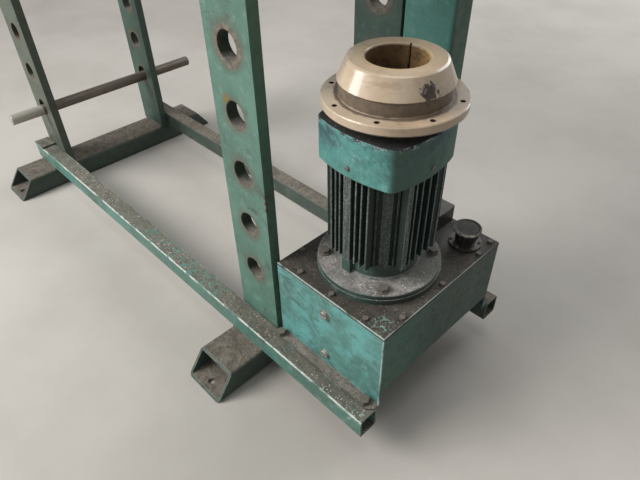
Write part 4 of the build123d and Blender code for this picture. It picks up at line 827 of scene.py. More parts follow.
@dataclass(frozen=True)
class Steel:
    """Bare steel with streaks, stains and rust."""

    name: str
    tone: Colour
    dark: Colour
    dirt: Colour = (0.21, 0.185, 0.155)
    rust: float = 0.3
    gloss: float = 0.36
    metal: float = 0.9
    streak: Point = (60.0, 60.0, 60.0)
    dust: float = 0.2
    edge_radius: float = 0.0014
    depth: float = 0.0003

    def material(self, marks: Sequence[Mark] = (), suffix: str = "") -> bpy.types.Material:
        """Build the finish.

        Args:
            marks: What the years left on this piece.
            suffix: A word that keeps the name apart from the plain finish.

        Returns:
            The material.
        """
        net = finish_net(self.name + suffix)
        _, _, up = net.facing()
        streaks = net.noise(1.0, 4.0, 0.6, 0.0, net.stretched(self.streak))
        mottle = net.noise(45.0, 5.0, 0.65)
        colour = net.blend(streaks.rise(0.35, 0.65) * 0.7, self.tone, self.dark)
        low, high = 0.60 - 0.12 * self.rust, 0.72 - 0.10 * self.rust
        spots = net.noise(28.0, 6.0, 0.75).rise(low, high)
        rust = net.blend(mottle.rise(0.4, 0.65), (0.075, 0.040, 0.020), (0.17, 0.085, 0.035))
        colour = net.blend(spots * self.rust * 1.6, colour, rust)
        rough = mottle * 0.22 + (self.gloss - 0.08) + spots * self.rust * 0.4
        for mark in marks:
            colour, rough = mark.lay(net, colour, rough)
        bright = net.edge(self.edge_radius).rise(0.03, 0.14) * 0.6
        colour = net.blend(bright, colour, shade(self.tone, 1.7, 0.05))
        lying = (up + (mottle - 0.5) * 0.6).rise(0.55, 0.9) * self.dust
        colour = net.blend(lying, colour, self.dirt)
        metal = (1.0 - lying) * (1.0 - spots * self.rust) * self.metal
        height = streaks * 0.3 + mottle * 0.3 + spots * 0.3
        return net.finish(
            Base_Color=colour, Roughness=(rough + lying * 0.4) & 0.95, Metallic=metal,
            Normal=net.relief(height, self.depth),
        )


@dataclass(frozen=True)
class CastSkin:
    """A cast or moulded skin: fine pebbles, faint clouds and a little dust."""

    name: str
    tone: Colour
    pale: Colour
    gloss: float = 0.5
    metal: float = 0.0
    pebble: float = 320.0
    depth: float = 0.0004
    dust: float = 0.3
    edge_radius: float = 0.0012
    dirt: Colour = (0.24, 0.215, 0.185)

    def material(self, marks: Sequence[Mark] = (), suffix: str = "") -> bpy.types.Material:
        """Build the finish.

        Args:
            marks: What the years left on this piece.
            suffix: A word that keeps the name apart from the plain finish.

        Returns:
            The material.
        """
        net = finish_net(self.name + suffix)
        _, _, up = net.facing()
        clouds = net.noise(14.0, 4.0, 0.6)
        pebbles = net.cells(self.pebble)
        colour = net.blend(clouds.rise(0.35, 0.68), self.tone, self.pale)
        rough = clouds * 0.2 + (self.gloss - 0.1)
        for mark in marks:
            colour, rough = mark.lay(net, colour, rough)
        worn = net.edge(self.edge_radius).rise(0.04, 0.18) * 0.4
        colour = net.blend(worn, colour, shade(self.pale, 1.5, 0.03))
        lying = (up + (clouds - 0.5) * 0.5).rise(0.6, 0.92) * self.dust
        colour = net.blend(lying, colour, self.dirt)
        height = pebbles * 0.5 + clouds * 0.3
        return net.finish(
            Base_Color=colour, Roughness=(rough + lying * 0.4) & 0.95, Metallic=self.metal,
            Normal=net.relief(height, self.depth),
        )


@dataclass(frozen=True)
class RingEnamel:
    """Glossy beige enamel of the loose ring, chipped to dark iron, with a brown greasy bore; painted
    shade darkens its far side, underside, neck, hole walls and key slot, and painted light brightens
    the bore's wall and lip.
    """

    name: str
    axis: tuple[float, float]
    bore: float = 0.062
    top: float = 0.9076
    flange_top: float = 0.8336
    neck_top: float = 0.8626
    root: float = 0.126
    holes: float = 0.1395
    key_turn: float = 106.0
    key_half_width: float = 0.0026
    coat: Colour = (0.46, 0.345, 0.232)
    pale: Colour = (0.56, 0.455, 0.335)
    grime: Colour = (0.115, 0.082, 0.055)
    chip_centre: Point = (1.036, -0.066, 0.877)

    def material(self) -> bpy.types.Material:
        """Build the finish.

        Returns:
            The material.
        """
        net = finish_net(self.name)
        x, y, z = net.xyz()
        _, _, up = net.facing()
        across, along = x - self.axis[0], y - self.axis[1]
        far = across.slant(along)
        clouds = net.noise(10.0, 5.0, 0.65)
        fine = net.noise(80.0, 5.0, 0.7)
        colour = self.paint(net, clouds, fine)
        # Painted shade: the side away from the lamps, towards +X and +Y, is darkened.
        painted_shade_side = (across + along * 0.8 + (clouds - 0.5) * 0.16).rise(0.05, 0.17)
        colour = net.blend(painted_shade_side * 0.55, colour, (0.27, 0.195, 0.125))
        hair = net.noise(3.4, 5.0, 0.7, 1.2, net.stretched((5.0, 5.0, 22.0), (0.3, 0.2, 0.5)))
        nick = abs(hair - 0.5).rise(0.006, 0.001) * net.noise(14.0, 3.0).rise(0.52, 0.60)
        colour = net.blend(nick * 0.85, colour, (0.085, 0.058, 0.036))
        ragged = (fine - 0.5) * 0.010 + (clouds - 0.5) * 0.016
        # The neck under the cone and the flange's top round the neck are darkened: painted shade in
        # the recess, with grime.
        neck = (z + ragged * 0.4).band(self.flange_top + 0.002, self.neck_top + 0.001, 0.0015)
        root = (far + ragged).rise(self.root, self.root - 0.005) * up.rise(0.3, 0.8)
        root = root * z.rise(self.flange_top + 0.004, self.flange_top + 0.001)
        grime = net.blend(fine.rise(0.42, 0.62), self.grime, shade(self.grime, 0.55))
        colour = net.blend((neck | root) * 0.88, colour, grime)
        rim = net.edge(0.0022).rise(0.02, 0.12)
        broken = net.noise(55.0, 4.0, 0.7).rise(0.50, 0.62)
        colour = net.blend(rim * broken, colour, (0.16, 0.12, 0.085))
        torn = (net.noise(95.0, 6.0, 0.8, 0.8) - 0.5) * 0.085
        chip = (net.away(self.chip_centre) + torn).rise(0.018, 0.014)
        iron = net.blend(fine.rise(0.4, 0.6), (0.024, 0.020, 0.016), (0.070, 0.048, 0.032))
        colour = net.blend(chip, colour, iron)
        # Painted shade: faces that look down are darkened.
        colour = net.blend(up.rise(-0.2, -0.8) * 0.8, colour, (0.10, 0.074, 0.050))
        # Painted shade: the walls of the flange's bolt holes are darkened to near black.
        hole_wall_shade = abs(up).rise(0.45, 0.25) * far.rise(self.holes, self.holes - 0.001)
        hole_wall_shade = hole_wall_shade * z.rise(self.flange_top + 0.001, self.flange_top - 0.001) * 0.92
        colour = net.blend(hole_wall_shade, colour, (0.022, 0.016, 0.011))
        # The bore is greasy brown, with painted light: its wall is lighter towards +X, where it faces
        # the lamps.
        inside = far.rise(self.bore + 0.0022, self.bore + 0.0006)
        bore_painted_light = net.blend(across.rise(-0.045, 0.055), (0.115, 0.068, 0.028), (0.42, 0.265, 0.115))
        crown = z.rise(self.top - 0.006, self.top - 0.003)
        golden = far.rise(self.bore + 0.018, self.bore + 0.004) * crown
        colour = net.blend(golden * 0.55, colour, (0.50, 0.35, 0.19))
        grease = net.blend(fine.rise(0.46, 0.62) * 0.6, bore_painted_light, (0.040, 0.023, 0.010))
        colour = net.blend(inside, colour, grease)
        # Painted highlight: a pale line on the edge of the bore's lip.
        lip = rim * far.rise(self.bore + 0.006, self.bore + 0.003) * crown
        colour = net.blend(lip * 0.8, colour, (0.74, 0.70, 0.60))
        # Painted shade: the key slot's walls are darkened to near black.
        key = self.key_slot(across, along)
        colour = net.blend(key * up.rise(0.5, 0.2), colour, (0.008, 0.006, 0.004))
        rough = fine * 0.16 + 0.22 + (inside | neck | root) * 0.25 + chip * 0.3
        height = fine * 0.30 + clouds * 0.4 - chip * 1.6
        glossy = (1.0 - (inside | chip | root | neck)) * 0.5
        return net.finish(
            Base_Color=colour, Roughness=rough & 0.9, Coat_Weight=glossy,
            Coat_Roughness=0.07, Normal=net.relief(height, 0.0005),
        )

    def paint(self, net: Net, clouds: Value, fine: Value) -> Tint:
        """Lay the beige paint with its specks and smears.

        Args:
            net: The tree of the finish.
            clouds: Broad noise.
            fine: Fine noise.

        Returns:
            The paint's colour.
        """
        colour = net.blend(clouds.rise(0.35, 0.65) * 0.8, self.coat, self.pale)
        colour = net.blend(fine.rise(0.62, 0.74) * 0.40, colour, (0.30, 0.22, 0.14))
        smear = net.noise(3.0, 5.0, 0.7, 0.5, net.stretched((4.0, 4.0, 14.0)))
        return net.blend(smear.rise(0.57, 0.70) * 0.40, colour, (0.25, 0.185, 0.12))

    def key_slot(self, across: Value, along: Value) -> Value:
        """Find the key slot in the bore's wall.

        Args:
            across: How far the point lies from the axis along X.
            along: How far it lies from the axis along Y.

        Returns:
            The slot's mask.
        """
        turn = math.radians(self.key_turn)
        aside = abs(across * math.sin(turn) - along * math.cos(turn))
        ahead = across * math.cos(turn) + along * math.sin(turn)
        wide = aside.rise(self.key_half_width, self.key_half_width - 0.001)
        return wide * ahead.band(0.0615, 0.0675, 0.0004)


@dataclass(frozen=True)
class CapFinish:
    """The breather's cap: a dark oily disc, bright along its rim, with a painted highlight on the
    front of its edge band, over dark lugs.
    """

    name: str
    top: float
    brim: float = 0.008

    def material(self) -> bpy.types.Material:
        """Build the finish.

        Returns:
            The material.
        """
        net = finish_net(self.name)
        _, _, z = net.xyz()
        _, side, up = net.facing()
        fine = net.noise(120.0, 5.0, 0.7)
        clouds = net.noise(30.0, 4.0)
        dark = net.blend(clouds.rise(0.35, 0.65), (0.010, 0.0085, 0.006), (0.030, 0.026, 0.019))
        under = self.top - self.brim
        # Painted highlight: the band round the top disc's edge is bright only where it faces the
        # front.
        band = z.rise(under - 0.001, under + 0.001) * abs(up).rise(0.95, 0.75)
        front = (side * -1.0).rise(-0.2, 0.6)
        front_rim_highlight = net.blend(fine.rise(0.46, 0.62), (0.52, 0.49, 0.42), (0.12, 0.105, 0.080))
        colour = net.blend(band * front * 0.9, dark, front_rim_highlight)
        rim = net.edge(0.0012).rise(0.03, 0.12) * net.noise(45.0, 3.0).rise(0.40, 0.56)
        colour = net.blend(rim * 0.75, colour, (0.50, 0.48, 0.42))
        bare = band | rim
        return net.finish(
            Base_Color=colour, Roughness=fine * 0.2 + 0.46 - bare * 0.22, Metallic=bare * 0.3,
            Specular_IOR_Level=0.22, Normal=net.relief(fine * 0.4 + clouds * 0.4, 0.0003),
        )


@dataclass(frozen=True)
class Glass:
    """A clear window with a faint film."""

    name: str

    def material(self) -> bpy.types.Material:
        """Build the finish.

        Returns:
            The material.
        """
        net = finish_net(self.name)
        film = net.noise(60.0, 4.0, 0.6).rise(0.45, 0.75)
        return net.finish(
            Base_Color=net.blend(film, (0.92, 0.95, 0.94), (0.75, 0.75, 0.70)),
            Roughness=film * 0.12 + 0.03, IOR=1.45, Alpha=film * 0.10 + 0.14,
            Normal=net.relief(film, 0.00005),
        )


@dataclass(frozen=True)
class Finishes:
    """Every finish of the press, each under its name."""

    teal: Enamel = Enamel(
        "TealEnamel", (0.082, 0.280, 0.240), (0.045, 0.160, 0.135), (0.21, 0.42, 0.38),
    )
    # Painted light: a paler copy of the teal, made paler to make up for the shade that the head and
    # bed cast on the column.
    panel: Enamel = Enamel(
        "PanelEnamel", (0.100, 0.310, 0.265), (0.065, 0.215, 0.180), (0.16, 0.36, 0.31),
        stain=0.5,
    )
    tank: Enamel = Enamel(
        "TankEnamel", (0.090, 0.235, 0.205), (0.050, 0.130, 0.112), (0.20, 0.38, 0.35),
        edge=(0.46, 0.52, 0.48), edge_radius=0.0020, wear=1.2, side=(0.042, 0.094, 0.064),
    )
    # Painted shade: the cowl's dirt and crumbs on its top are near black, for the shade under the
    # ring.
    cowl: Enamel = Enamel(
        "CowlEnamel", (0.088, 0.290, 0.262), (0.036, 0.120, 0.105), (0.22, 0.45, 0.42),
        stain=0.8, side=(0.050, 0.092, 0.064), dirt=(0.030, 0.029, 0.026),
        crumb=(0.16, 0.16, 0.15),
    )
    upright: Enamel = Enamel(
        "UprightEnamel", (0.096, 0.205, 0.160), (0.058, 0.130, 0.100), (0.185, 0.300, 0.245),
        stain=1.1, wear=0.9, dust=0.8, edge=(0.050, 0.056, 0.042), side=(0.064, 0.120, 0.076),
    )
    dull_upright: Enamel = Enamel(
        "DullUprightEnamel", (0.078, 0.098, 0.074), (0.042, 0.056, 0.042),
        (0.150, 0.170, 0.135), stain=1.2, wear=0.8, dust=0.8, edge=(0.070, 0.070, 0.055),
        side=(0.050, 0.062, 0.042),
    )
    # Painted shade: a darker copy of the uprights' teal, for the back uprights that stand in shade.
    back_upright: Enamel = Enamel(
        "BackUprightEnamel", (0.038, 0.092, 0.070), (0.020, 0.046, 0.035),
        (0.085, 0.145, 0.116), stain=1.1, wear=0.8, dust=0.8, edge=(0.055, 0.060, 0.046),
        side=(0.036, 0.056, 0.040),
    )
    grimy: Enamel = Enamel(
        "GrimyEnamel", (0.052, 0.080, 0.062), (0.026, 0.038, 0.030), (0.13, 0.16, 0.13),
        stain=1.3, edge=(0.30, 0.38, 0.33), edge_radius=0.0026, wear=1.1,
        dirt=(0.155, 0.132, 0.104), side=(0.036, 0.050, 0.038), litter=0.5,
    )
    rail: Enamel = Enamel(
        "RailEnamel", (0.082, 0.205, 0.168), (0.045, 0.095, 0.076), (0.22, 0.32, 0.28),
        stain=1.3, edge=(0.52, 0.54, 0.50), edge_radius=0.0024, wear=1.3, dust=0.88,
        dirt=(0.150, 0.128, 0.100), crumb=(0.60, 0.57, 0.50), side=(0.050, 0.060, 0.045),
        litter=1.0,
    )
    lid: Enamel = Enamel(
        "LidEnamel", (0.050, 0.075, 0.058), (0.024, 0.036, 0.028), (0.10, 0.13, 0.11),
        stain=1.2, edge=(0.40, 0.46, 0.42), wear=1.1, dirt=(0.062, 0.053, 0.041),
        crumb=(0.34, 0.32, 0.28), side=(0.034, 0.040, 0.028), litter=0.6,
    )
    motor: Enamel = Enamel(
        "MotorEnamel", (0.040, 0.080, 0.066), (0.018, 0.036, 0.029), (0.15, 0.19, 0.17),
        edge=(0.26, 0.30, 0.27), dirt=(0.290, 0.274, 0.255), crumb=(0.74, 0.73, 0.68),
        side=(0.030, 0.042, 0.032), litter=1.0,
    )
    bar: Steel = Steel(
        "OldBar", (0.165, 0.135, 0.105), (0.070, 0.056, 0.044),
        rust=0.45, gloss=0.42, metal=0.35, streak=(90.0, 4.0, 90.0),
    )
    pin: Steel = Steel(
        "BedPinSteel", (0.30, 0.28, 0.25), (0.12, 0.11, 0.10), streak=(90.0, 5.0, 90.0),
    )
    machined: Steel = Steel(
        "MachinedSteel", (0.56, 0.56, 0.54), (0.36, 0.35, 0.33), rust=0.05, gloss=0.28,
    )
    zinc: Steel = Steel(
        "ZincSteel", (0.42, 0.41, 0.37), (0.22, 0.20, 0.17), gloss=0.40, dust=0.6,
    )
    grubby: Steel = Steel(
        "GrubbyBolt", (0.150, 0.132, 0.108), (0.065, 0.056, 0.045), (0.125, 0.110, 0.092),
        rust=0.4, gloss=0.5, metal=0.3, dust=0.8,
    )
    chrome: Steel = Steel(
        "HardChrome", (0.80, 0.80, 0.79), (0.66, 0.66, 0.65),
        rust=0.0, gloss=0.14, metal=1.0, streak=(3.0, 3.0, 200.0), dust=0.0,
    )
    oily_block: Steel = Steel(
        "OilyBlock", (0.040, 0.036, 0.030), (0.018, 0.015, 0.012),
        rust=0.2, gloss=0.40, metal=0.3, dust=0.12,
    )
    iron: CastSkin = CastSkin(
        "GreyIron", (0.055, 0.060, 0.058), (0.115, 0.120, 0.115), gloss=0.55,
    )
    alloy: CastSkin = CastSkin(
        "CastAlloy", (0.42, 0.43, 0.43), (0.58, 0.58, 0.57), gloss=0.42, metal=0.8,
    )
    copper: CastSkin = CastSkin(
        "VarnishedCopper", (0.36, 0.13, 0.045), (0.52, 0.22, 0.09), gloss=0.3, pebble=480.0,
    )
    rubber: CastSkin = CastSkin(
        "BlackRubber", (0.012, 0.012, 0.012), (0.030, 0.029, 0.028), gloss=0.75, pebble=700.0,
    )
    black: CastSkin = CastSkin(
        "BlackMoulding", (0.016, 0.016, 0.016), (0.038, 0.038, 0.037),
        gloss=0.45, pebble=900.0, depth=0.00015,
    )
    grey: CastSkin = CastSkin(
        "GreyMoulding", (0.22, 0.23, 0.225), (0.31, 0.315, 0.31),
        pebble=800.0, depth=0.00015,
    )
    go: CastSkin = CastSkin(
        "GreenButton", (0.012, 0.17, 0.045), (0.03, 0.26, 0.085),
        gloss=0.3, pebble=900.0, depth=0.00008, dust=0.1,
    )
    halt: CastSkin = CastSkin(
        "RedButton", (0.36, 0.014, 0.010), (0.50, 0.03, 0.02),
        gloss=0.3, pebble=900.0, depth=0.00008, dust=0.1,
    )
    dial: CastSkin = CastSkin(
        "DialWhite", (0.66, 0.66, 0.62), (0.78, 0.78, 0.73),
        pebble=600.0, depth=0.00006, dust=0.1,
    )


def dress(node: str, material: bpy.types.Material) -> None:
    """Give one CAD node its finish.

    Args:
        node: The node's name.
        material: The finish.
    """
    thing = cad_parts[node]
    thing.data.materials.clear()
    thing.data.materials.append(material)
    log.info("dressed %s in %s", node, material.name)


def dress_plain(table: Sequence[tuple[str, Enamel | Steel | CastSkin, str]]) -> None:
    """Give the CAD nodes that bear no marks of their own their finishes.

    Args:
        table: Each node's name, its finish and the word after the finish's name.
    """
    for node, finish, suffix in table:
        dress(node, finish.material((), suffix))


def stand(name: str, data: bpy.types.ID) -> bpy.types.Object:
    """Stand a mesh, a lamp or a camera in the scene.

    Args:
        name: The new object's name.
        data: What it shows.

    Returns:
        The new object.
    """
    made = bpy.data.objects.new(name, data)
    bpy.context.scene.collection.objects.link(made)
    return made


def bridge(
    mesh: bmesh.types.BMesh,
    first: Sequence[bmesh.types.BMVert],
    second: Sequence[bmesh.types.BMVert],
) -> None:
    """Join two closed rings of points with a band of faces.

    Args:
        mesh: The mesh that takes the faces.
        first: The points of one ring.
        second: As many points of the other.
    """
    for number in range(len(first)):
        after = (number + 1) % len(first)
        mesh.faces.new((first[number], first[after], second[after], second[number]))


def piece(name: str, mesh: bmesh.types.BMesh, material: bpy.types.Material) -> None:
    """Turn a mesh into a piece of the standing frame.

    Args:
        name: The piece's name.
        mesh: Its faces, in metres of the shared frame.
        material: Its finish.
    """
    data = bpy.data.meshes.new(name)
    bmesh.ops.recalc_face_normals(mesh, faces=mesh.faces)
    mesh.to_mesh(data)
    mesh.free()
    for face in data.polygons:
        face.use_smooth = True
    data.materials.append(material)
    made = stand(name, data)
    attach(made, "frame")
    log.info("made %s with %d faces", name, len(data.polygons))


@dataclass(frozen=True)
class WeldBead:
    """A fillet weld: a rippled bead along a straight seam."""

    start: Point
    end: Point
    radius: float = 0.0036
    ripple: float = 0.0045
    points: int = 8

    def add_to(self, mesh: bmesh.types.BMesh) -> None:
        """Add the bead's rings and faces to a mesh.

        Args:
            mesh: The mesh that takes the bead.
        """
        first, last = Vector(self.start), Vector(self.end)
        run = last - first
        along = run.normalized()
        side = along.orthogonal().normalized()
        other = along.cross(side)
        steps = max(6, min(90, int(run.length / self.ripple * 1.5)))
        rings = []
        for step in range(steps + 1):
            share = step / steps
            swell = 1.0 + 0.14 * math.sin(step * 2.1) + 0.07 * math.sin(step * 5.3 + 1.0)
            if step in (0, steps):
                swell = 0.35
            drift = 0.10 * math.sin(step * 0.7)
            centre = first + run * share
            rings.append([
                mesh.verts.new(
                    centre
                    + side * self.radius * swell * (math.cos(math.tau * k / self.points) + drift)
                    + other * self.radius * swell * math.sin(math.tau * k / self.points)
                )
                for k in range(self.points)
            ])
        for one, two in zip(rings, rings[1:]):
            bridge(mesh, one, two)
        mesh.faces.new(rings[0])
        mesh.faces.new(rings[-1])


@dataclass
class PressFrame:
    """The standing frame: uprights, feet, rails, the loose bar and the bed on its pins."""

    finishes: Finishes
    half_spacing: float = 0.6685
    upright_width: float = 0.150
    outside: float = 0.2385
    inside: float = 0.2105
    foot_top: float = 0.080
    foot_half_width: float = 0.070
    rail_depth: float = 0.057
    edge_inset: float = 0.0018
    spacer_reaches: tuple[float, float] = (0.720, 0.5235)
    spacer_half: float = 0.0085
    bed_web: float = 0.198
    bed_margin: float = 0.028

    def build(self) -> None:
        """Dress the frame's nodes and lay its welds."""
        self.dress_uprights()
        self.dress_rest()
        self.weld_frame()
        self.weld_bed()

    def dress_uprights(self) -> None:
        """Give each upright its own worn paint, with its rings and patches; the back ones get a
        darker copy as painted shade.
        """
        paints = {Sides.FRONT: self.finishes.dull_upright, Sides.BACK: self.finishes.back_upright}
        for end in Ends:
            for side in Sides:
                x = end.value * self.half_spacing
                marks: list[Mark] = [HoleRims(x)]
                paint = paints[side]
                if end is Ends.RIGHT and side is Sides.FRONT:
                    paint = self.finishes.upright
                    marks += self.rust(x, side.value * self.outside)
                node = f"{side.name.lower()}_{end.name.lower()}_upright"
                dress(node, paint.material(marks, f"_{side.name.title()}{end.name.title()}"))

    def rust(self, x: float, y: float) -> list[Mark]:
        """Place the rust on the right front upright.

        Args:
            x: The upright's middle.
            y: Its outer face.

        Returns:
            One patch beside a hole and three along the edge.
        """
        edge = x + self.upright_width / 2
        return [
            RustPatch((x - 0.0285, y, 0.793), radius=0.014, tone=(0.130, 0.085, 0.022)),
            *(
                RustPatch((edge, y, z), radius=0.007, tone=(0.070, 0.036, 0.017))
                for z in (0.548, 0.566, 0.584)
            ),
        ]

    def dress_rest(self) -> None:
        """Dress the feet, rails, bar, pins and bed."""
        grimy = self.finishes.grimy.material()
        for name in ("left_foot", "right_foot", "back_rail"):
            dress(name, grimy)
        low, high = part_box("front_rail")
        level = RAIL_TOP - self.edge_inset
        marks = [
            WornLine(Axis.X, (low[1] + self.edge_inset, level), reach=0.0046),
            WornLine(
                Axis.X, (high[1] - self.edge_inset, level),
                reach=0.0034, tone=(0.36, 0.38, 0.34), cover=0.6,
            ),
            PaintChips(
                (0.32, low[1] + 0.02, RAIL_TOP),
                radius=0.30, paint=(0.085, 0.185, 0.150), fine=52.0, cover=0.540,
            ),
            PaintChips(
                (high[0] - 0.03, low[1], RAIL_TOP),
                radius=0.045, paint=(0.26, 0.38, 0.32), fine=90.0, cover=0.56,
            ),
        ]
        dress("front_rail", self.finishes.rail.material(marks, "_Front"))
        dress("support_bar", self.finishes.bar.material([PolishedEnd()]))
        dress_plain((
            ("bed_pins", self.finishes.pin, ""),
            ("press_bed", self.finishes.teal, "_Bed"),
        ))

    def weld_frame(self) -> None:
        """Run beads where the uprights and the rails stand on the feet."""
        mesh = bmesh.new()
        z = self.foot_top + 0.001
        reach = self.foot_half_width - 0.004
        for end in Ends:
            x = end.value * self.half_spacing
            for side in Sides:
                y = side.value * self.inside
                WeldBead((x - reach, y, z), (x + reach, y, z)).add_to(mesh)
                rail = side.value * (self.outside + self.rail_depth)
                WeldBead((x - reach, rail, z), (x + reach, rail, z), radius=0.003).add_to(mesh)
        piece("FrameWelds", mesh, self.finishes.grimy.material((), "_Weld"))

    def weld_bed(self) -> None:
        """Run beads along both faces of the bed's spacers."""
        mesh = bmesh.new()
        low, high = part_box("press_bed")
        foot, head = low[2] + self.bed_margin, high[2] - self.bed_margin
        for reach in self.spacer_reaches:
            for end in Ends:
                for side in Sides:
                    y = side.value * self.bed_web
                    for face in (-1, 1):
                        x = end.value * reach + face * self.spacer_half
                        WeldBead((x, y, foot), (x, y, head)).add_to(mesh)
        piece("BedWelds", mesh, self.finishes.teal.material((), "_Weld"))


@dataclass
class PressHead:
    """The head with its cylinder and ram."""

    finishes: Finishes
    seam: float = 0.1255

    def build(self) -> None:
        """Dress the head's nodes and run the beads of the cylinder plate."""
        finishes = self.finishes
        teal = finishes.teal.material((), "_Head")
        for name in (
            "front_head_channel", "back_head_channel", "cylinder_plate", "cylinder_barrel",
            "cylinder_cap",
        ):
            dress(name, teal)
        dress_plain((
            ("head_bolts", finishes.zinc, "_Head"),
            ("cylinder_gland", finishes.machined, "_Gland"),
            ("rod_seal", finishes.rubber, ""),
            ("ram", finishes.chrome, ""),
            ("piston", finishes.machined, "_Piston"),
            ("ram_nose", finishes.pin, "_Nose"),
        ))
        mesh = bmesh.new()
        low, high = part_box("cylinder_plate")
        for side in Sides:
            y = side.value * self.seam
            WeldBead((low[0], y, high[2]), (high[0], y, high[2])).add_to(mesh)
        piece("HeadWelds", mesh, teal)


@dataclass
class PowerPack:
    """The oil tank with its lid, filler, motor, pump and the loose ring."""

    finishes: Finishes
    motor: tuple[float, float] = (0.930, -0.047)
    ring: tuple[float, float] = (0.9309, -0.0335)
    pale_line: Colour = (0.42, 0.50, 0.46)
    seal_proud: float = 0.0006
    seal_half: float = 0.0014
    seal_flat: float = 0.0010

    def build(self) -> None:
        """Dress the tank, the motor, the pump and the ring, and add the lid's seal."""
        self.dress_tank()
        self.dress_lid()
        self.dress_motor()
        self.dress_pump()
        self.lay_seal()

    def dress_tank(self) -> None:
        """Dress the tank, with its scuffed front, its worn edges and painted shade on its right side
        towards the back.
        """
        low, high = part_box("oil_tank")
        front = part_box("tank_lid")[0][1]
        shade_corner = (high[0], high[1], low[2] + 0.10)
        marks = [
            Rubbed(),
            # Painted shade, laid as a dark patch: the tank's right side darkens towards its back
            # bottom corner.
            OilStain(shade_corner, radius=0.42, tone=(0.010, 0.020, 0.014), cover=0.75, ragged=0.25),
            WornLine(Axis.Z, (high[0], front), reach=0.0036, tone=self.pale_line),
            WornLine(Axis.X, (front, high[2]), reach=0.0036, tone=self.pale_line, cover=0.7),
            WornLine(
                Axis.X, (low[1], RAIL_TOP + 0.003),
                reach=0.0065, tone=(0.085, 0.078, 0.066), cover=1.0,
            ),
        ]
        dress("oil_tank", self.finishes.tank.material(marks))

    def dress_lid(self) -> None:
        """Dress the lid and what is screwed to the tank."""
        finishes = self.finishes
        cap_low, cap_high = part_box("filler_cap")
        low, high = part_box("tank_lid")
        top = high[2]
        cap = ((cap_low[0] + cap_high[0]) / 2, (cap_low[1] + cap_high[1]) / 2, top)
        marks = [
            WornLine(Axis.X, (low[1], top), reach=0.0034, tone=(0.40, 0.47, 0.43)),
            WornLine(Axis.Y, (high[0], top), reach=0.0026, tone=(0.34, 0.38, 0.35), cover=0.7),
            OilStain((self.motor[0] - 0.03, self.motor[1] + 0.05, top), radius=0.205),
            OilStain(cap, radius=0.070),
            PaintChips(
                (1.072, -0.200, top), radius=0.034, paint=(0.17, 0.31, 0.25), fine=130.0, cover=0.555,
            ),
        ]
        dress("tank_lid", finishes.lid.material(marks))
        dress_plain((
            ("tank_bolts", finishes.grubby, ""),
            ("tank_plugs", finishes.zinc, "_Plugs"),
            ("filler_neck", finishes.oily_block, "_Neck"),
        ))
        dress("filler_cap", CapFinish("BreatherCap", cap_high[2]).material())
        dress_plain((
            ("manifold_block", finishes.oily_block, ""),
            ("oil_pipes", finishes.zinc, "_Pipes"),
        ))

    def dress_motor(self) -> None:
        """Dress the motor, its cowl and the loose ring."""
        finishes = self.finishes
        dress("mount_ring", finishes.motor.material((), "_MountRing"))
        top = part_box("motor_flange")[1][2]
        # Painted shade, laid as a dark patch: the flange darkens towards its right back corner.
        corner = (self.motor[0] + 0.13, self.motor[1] + 0.10, top)
        oil = OilStain(corner, radius=0.15, tone=(0.060, 0.064, 0.050), cover=0.8)
        dress("motor_flange", finishes.motor.material([oil], "_Flange"))
        dress("motor_frame", finishes.motor.material([FinDepth(self.motor)], "_Fins"))
        dress("motor_screws", finishes.grubby.material((), "_Motor"))
        cowl_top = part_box("fan_cowl")[1][2]
        dress("fan_cowl", finishes.cowl.material([EdgeFlakes(cowl_top)]))
        dress_plain((
            ("terminal_box", finishes.motor, "_Box"),
            ("rear_shield", finishes.iron, ""),
            ("fan", finishes.black, ""),
            ("stator", finishes.copper, ""),
            ("rotor", finishes.machined, "_Rotor"),
            ("motor_bearings", finishes.machined, "_Bearings"),
        ))
        dress("flanged_ring", RingEnamel("RingEnamel", self.ring).material())

    def dress_pump(self) -> None:
        """Dress the coupling, the pump and its strainer."""
        finishes = self.finishes
        dress_plain((
            ("pump_carrier", finishes.alloy, "_Carrier"),
            ("shaft_couplings", finishes.iron, "_Coupling"),
            ("coupling_spider", finishes.halt, "_Spider"),
            ("pump_body", finishes.alloy, "_Pump"),
            ("pump_drive_gear", finishes.machined, "_DriveGear"),
            ("pump_driven_gear", finishes.machined, "_DrivenGear"),
            ("suction_strainer", finishes.zinc, "_Strainer"),
        ))

    def lay_seal(self) -> None:
        """Lay the thin dark seal that shows under the lid's edge."""
        low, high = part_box("tank_lid")
        mesh = bmesh.new()
        level = low[2]
        rings = []
        for z, out in (
            (level - self.seal_half, 0.0), (level - self.seal_flat, self.seal_proud),
            (level + self.seal_flat, self.seal_proud), (level + self.seal_half, 0.0),
        ):
            corners = (
                (low[0] - out, low[1] - out), (high[0] + out, low[1] - out),
                (high[0] + out, high[1] + out), (low[0] - out, high[1] + out),
            )
            rings.append([mesh.verts.new((x, y, z)) for x, y in corners])
        for one, two in zip(rings, rings[1:]):
            bridge(mesh, one, two)
        piece("LidSeal", mesh, self.finishes.rubber.material((), "_Seal"))


